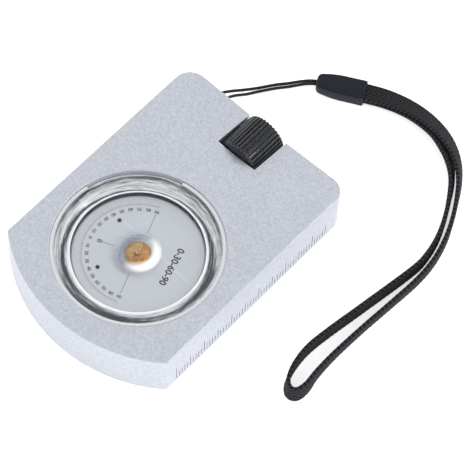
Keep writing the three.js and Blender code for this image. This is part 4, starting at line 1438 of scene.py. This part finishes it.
class CLINOMETER_OT_lanyard(bpy.types.Operator):
    """Build the thin cord, the slider, the woven strap and the pin they hang on"""

    bl_idname = "clinometer.lanyard"
    bl_label = "Lanyard"

    def runs(self, line):
        """Each point with its direction and its distance along the line."""
        distance = 0.0
        places = [point.xyz for point in line]
        for i, place in enumerate(places):
            ahead = places[min(i + 1, len(places) - 1)]
            yield place, (ahead - places[max(i - 1, 0)]).normalized(), distance
            distance += (ahead - place).length

    def cord_stations(self, line):
        """Frames along the cord, each turned as little as it can be from the one before."""
        stations = []
        across = UP.cross(line[1] - line[0]).normalized()
        for place, run, distance in self.runs(line):
            across = (across - run * across.dot(run)).normalized()
            stations.append((place, across, run.cross(across), distance))
        return stations

    def strap_stations(self, line):
        """Frames along the strap, from its turn about its own run."""
        stations = []
        for point, (place, run, distance) in zip(line, self.runs(line)):
            left = UP.cross(run).normalized()
            upright = run.cross(left)
            turn = math.radians(point.w)
            across = left * math.cos(turn) - upright * math.sin(turn)
            out = upright * math.cos(turn) + left * math.sin(turn)
            stations.append((place, across, out, distance))
        return stations

    def strap_section(self, width, thickness, across_count=26):
        """A flat band with full edges and a slightly thinner middle."""
        half, thin = width / 2, thickness / 2
        face = []
        for i in range(across_count + 1):
            a = -half + 0.3 * MM + (width - 0.6 * MM) * i / across_count
            selvedge = max(0.0, 1 - (half - abs(a)) / (0.8 * MM))
            face.append((a, thin * (0.84 + 0.16 * selvedge)))
        edge = [(half - 0.09 * MM, thin * 0.7), (half, 0.0), (half - 0.09 * MM, -thin * 0.7)]
        under = [(a, -b) for a, b in reversed(face)]
        return [*face, *edge, *under, *[(-a, -b) for a, b in edge]]

    def weave(self, bm, pitch, thickness, width):
        """Lifts and sinks the strap's surface along its herringbone, fading out at the woven edges."""
        bm.normal_update()
        uv = bm.loops.layers.uv.active
        selvedge = 0.6 * MM
        lifts = {}
        for face in bm.faces:
            if len(face.verts) > 4:
                continue
            for loop in face.loops:
                a, s = loop[uv].uv
                chevron = math.sin(abs(a) * math.tau * CHEVRON_SLANT / pitch + s * math.tau / pitch)
                inside = (width / 2 - abs(a)) / selvedge
                lifts[loop.vert] = chevron * thickness * WEAVE_LIFT * min(1.0, max(0.0, inside))
        for vert, lift in lifts.items():
            vert.co += vert.normal * lift

    def slider(self, size, nose, height):
        """A slab whose nose narrows and rounds over; the mouths at its ends are cut afterwards. Its long axis
        is X.
        """
        half_long, half_wide = size[0] / 2, size[1] / 2
        bm = box_mesh((-half_long, -half_wide, 0), (half_long, half_wide, height))
        bmesh.ops.subdivide_edges(
            bm, edges=[e for e in bm.edges if abs(e.verts[0].co.x - e.verts[1].co.x) > half_long], cuts=7
        )
        for vert in bm.verts:
            back = max(0.0, (-vert.co.x) / half_long)
            vert.co.y *= 1 - (1 - nose / size[1]) * back**1.6
            vert.co.z = height / 2 + (vert.co.z - height / 2) * (1 - 0.16 * back**2)
            flare = max(0.0, vert.co.x / half_long) ** 4
            vert.co.y *= 1 + 0.02 * flare
        crosswise = [e for e in bm.edges if abs(e.verts[0].co.x - e.verts[1].co.x) < 1e-6]
        ends = [e for e in crosswise if e.verts[0].co.x < -half_long * 0.95]
        break_edges(bm, 1.1 * MM, 5, [e for e in ends if abs(e.verts[0].co.y - e.verts[1].co.y) < 1e-6])
        tidy(bm)
        break_edges(bm, 0.55 * MM, 4, sharp_edges(bm, 35))
        return bm

    def execute(self, context):
        own = settings("lanyard")
        plastic = satin_black("slider_plastic", own.plastic, 0.42, 0.3 * MM, 0.012 * MM)

        low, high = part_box("cord_slider")
        height = high.z - low.z
        level = height / 2
        heading = math.radians(27.9)
        body = self.slider((13.0 * MM, 5.8 * MM), 4.0 * MM, height)
        mouths = [
            box_mesh((2.3 * MM, -2.65 * MM, level - 1.4 * MM), (8 * MM, 2.65 * MM, level + 1.4 * MM)),
            box_mesh((-8 * MM, -1.1 * MM, level - 0.65 * MM), (-2.9 * MM, 1.1 * MM, level + 0.65 * MM)),
        ]
        body = carved(body, mouths)
        place = Matrix.Translation((1.55 * MM, 65.25 * MM, low.z)) @ Matrix.Rotation(heading, 4, "Z")
        body = moved(body, turn=place)
        slider = finished(body, "cord_slider_moulded", "housing", [plastic], 35)
        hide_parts("cord_slider")

        line = smooth_line(CORD_ROUTE, 0.25 * MM)
        radius = own.cord_diameter / 2
        corners = [i * math.tau / 14 for i in range(14)]
        section = [(radius * math.cos(a), radius * math.sin(a)) for a in corners]
        cord = swept(self.cord_stations(line), section, around=True)
        braid = braided_cord(own.yarn, own.cord_diameter)
        cord = finished(cord, "lanyard_cord_braided", "housing", [braid], 60)
        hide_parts("lanyard_cord")
        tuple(CORD_ROUTE[1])
        line_length(line)

        line = smooth_line(STRAP_ROUTE, 0.35 * MM)
        strap = swept(self.strap_stations(line), self.strap_section(own.strap_width, own.strap_thickness))
        self.weave(strap, own.weave_pitch, own.strap_thickness, own.strap_width)
        webbing = woven_strap(own.yarn, own.weave_pitch, own.strap_width)
        strap = finished(strap, "wrist_strap_woven", "housing", [webbing], 60)
        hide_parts("wrist_strap")
        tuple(STRAP_ROUTE[1][:3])
        line_length(line)
        dress("lanyard_pin", shared(bright_steel))
        return {"FINISHED"}


# ---------------------------------------------------------------- stage


class CLINOMETER_OT_stage(bpy.types.Operator):
    """Set the camera, the pale floor and the soft studio light"""

    bl_idname = "clinometer.stage"
    bl_label = "Stage"

    def panel_light(self, name, place, target, size, power):
        light = bpy.data.lights.new(name, "AREA")
        light.shape = "RECTANGLE"
        light.size, light.size_y = size
        light.energy = power
        lamp = bpy.data.objects.new(name, light)
        lamp.location = place
        lamp.rotation_mode = "QUATERNION"
        lamp.rotation_quaternion = (Vector(target) - Vector(place)).to_track_quat("-Z", "Y")
        bpy.context.scene.collection.objects.link(lamp)

    def world(self):
        world = bpy.data.worlds.new("studio")
        sky = Recipe("studio", world)
        rise = sky.axes("Generated")[2]
        light = sky.out(
            "ShaderNodeValToRGB",
            0,
            {
                "stops": [
                    (0.0, (1.15, 1.15, 1.15, 1.0)),
                    (0.35, (1.1, 1.1, 1.1, 1.0)),
                    (0.75, (0.8, 0.81, 0.83, 1.0)),
                    (1.0, (0.7, 0.71, 0.74, 1.0)),
                ]
            },
            {0: rise},
        )
        glow = sky.out("ShaderNodeBackground", 0, None, {"Color": light, "Strength": 1.0})
        sky.node("ShaderNodeOutputWorld", None, {"Surface": glow})
        bpy.context.scene.world = world

    def execute(self, context):
        own = settings("stage")
        target = Vector((12.52 * MM, 11.87 * MM, 7.3 * MM))
        flat = math.cos(own.elevation)
        back = Vector((math.sin(own.azimuth) * flat, -math.cos(own.azimuth) * flat, math.sin(own.elevation)))
        data = bpy.data.cameras.new("camera")
        data.lens = own.lens
        data.clip_start, data.clip_end = 0.01, 20
        camera = bpy.data.objects.new("camera", data)
        camera.location = target + back * own.distance
        camera.rotation_mode = "QUATERNION"
        camera.rotation_quaternion = (-back).to_track_quat("-Z", "Y") @ Quaternion((0, 0, 1), own.roll)
        context.scene.collection.objects.link(camera)
        context.scene.camera = camera

        bm = bmesh.new()
        bmesh.ops.create_grid(bm, x_segments=1, y_segments=1, size=3.0)
        floor = as_object(moved(bm, (0, 0, -0.02 * MM)), "floor", floor_paper(own.floor, own.floor_glow))
        self.panel_light("key", (0.5, 0.3, 0.56), (0, 0, 0), (0.07, 0.3), 1.0)
        self.panel_light("top", (-0.35, 0.3, 0.75), (0, 0, 0), (0.5, 0.4), 0.4)
        self.world()
        context.scene.view_settings.view_transform = "Standard"
        return {"FINISHED"}


# ---------------------------------------------------------------- panel and registration


class CLINOMETER_PT_panel(bpy.types.Panel):
    """Lists the pieces of the clinometer"""

    bl_idname = "CLINOMETER_PT_panel"
    bl_label = "Pocket Clinometer"
    bl_space_type = "VIEW_3D"
    bl_region_type = "UI"
    bl_category = "Clinometer"

    def draw(self, context):
        for operator in OPERATORS:
            self.layout.operator(operator.bl_idname)
        for group in GROUPS:
            box = self.layout.box()
            box.label(text=group.capitalize())
            own = settings(group)
            for name in GROUPS[group].__annotations__:
                box.prop(own, name)


OPERATORS = (
    CLINOMETER_OT_stage,
    CLINOMETER_OT_lanyard,
    CLINOMETER_OT_housing,
    CLINOMETER_OT_capsule,
    CLINOMETER_OT_dial,
    CLINOMETER_OT_eyepiece,
)


def register():
    for made in (*GROUPS.values(), *OPERATORS, CLINOMETER_PT_panel):
        bpy.utils.register_class(made)
    for group, made in GROUPS.items():
        setattr(bpy.types.Scene, "clinometer_" + group, PointerProperty(type=made))


def unregister():
    for group in GROUPS:
        delattr(bpy.types.Scene, "clinometer_" + group)
    for made in reversed((*GROUPS.values(), *OPERATORS, CLINOMETER_PT_panel)):
        bpy.utils.unregister_class(made)


def main():
    register()
    bpy.ops.clinometer.stage()
    bpy.ops.clinometer.lanyard()
    bpy.ops.clinometer.housing()
    bpy.ops.clinometer.capsule()
    bpy.ops.clinometer.dial()
    bpy.ops.clinometer.eyepiece()


if __name__ == "__main__":
    main()
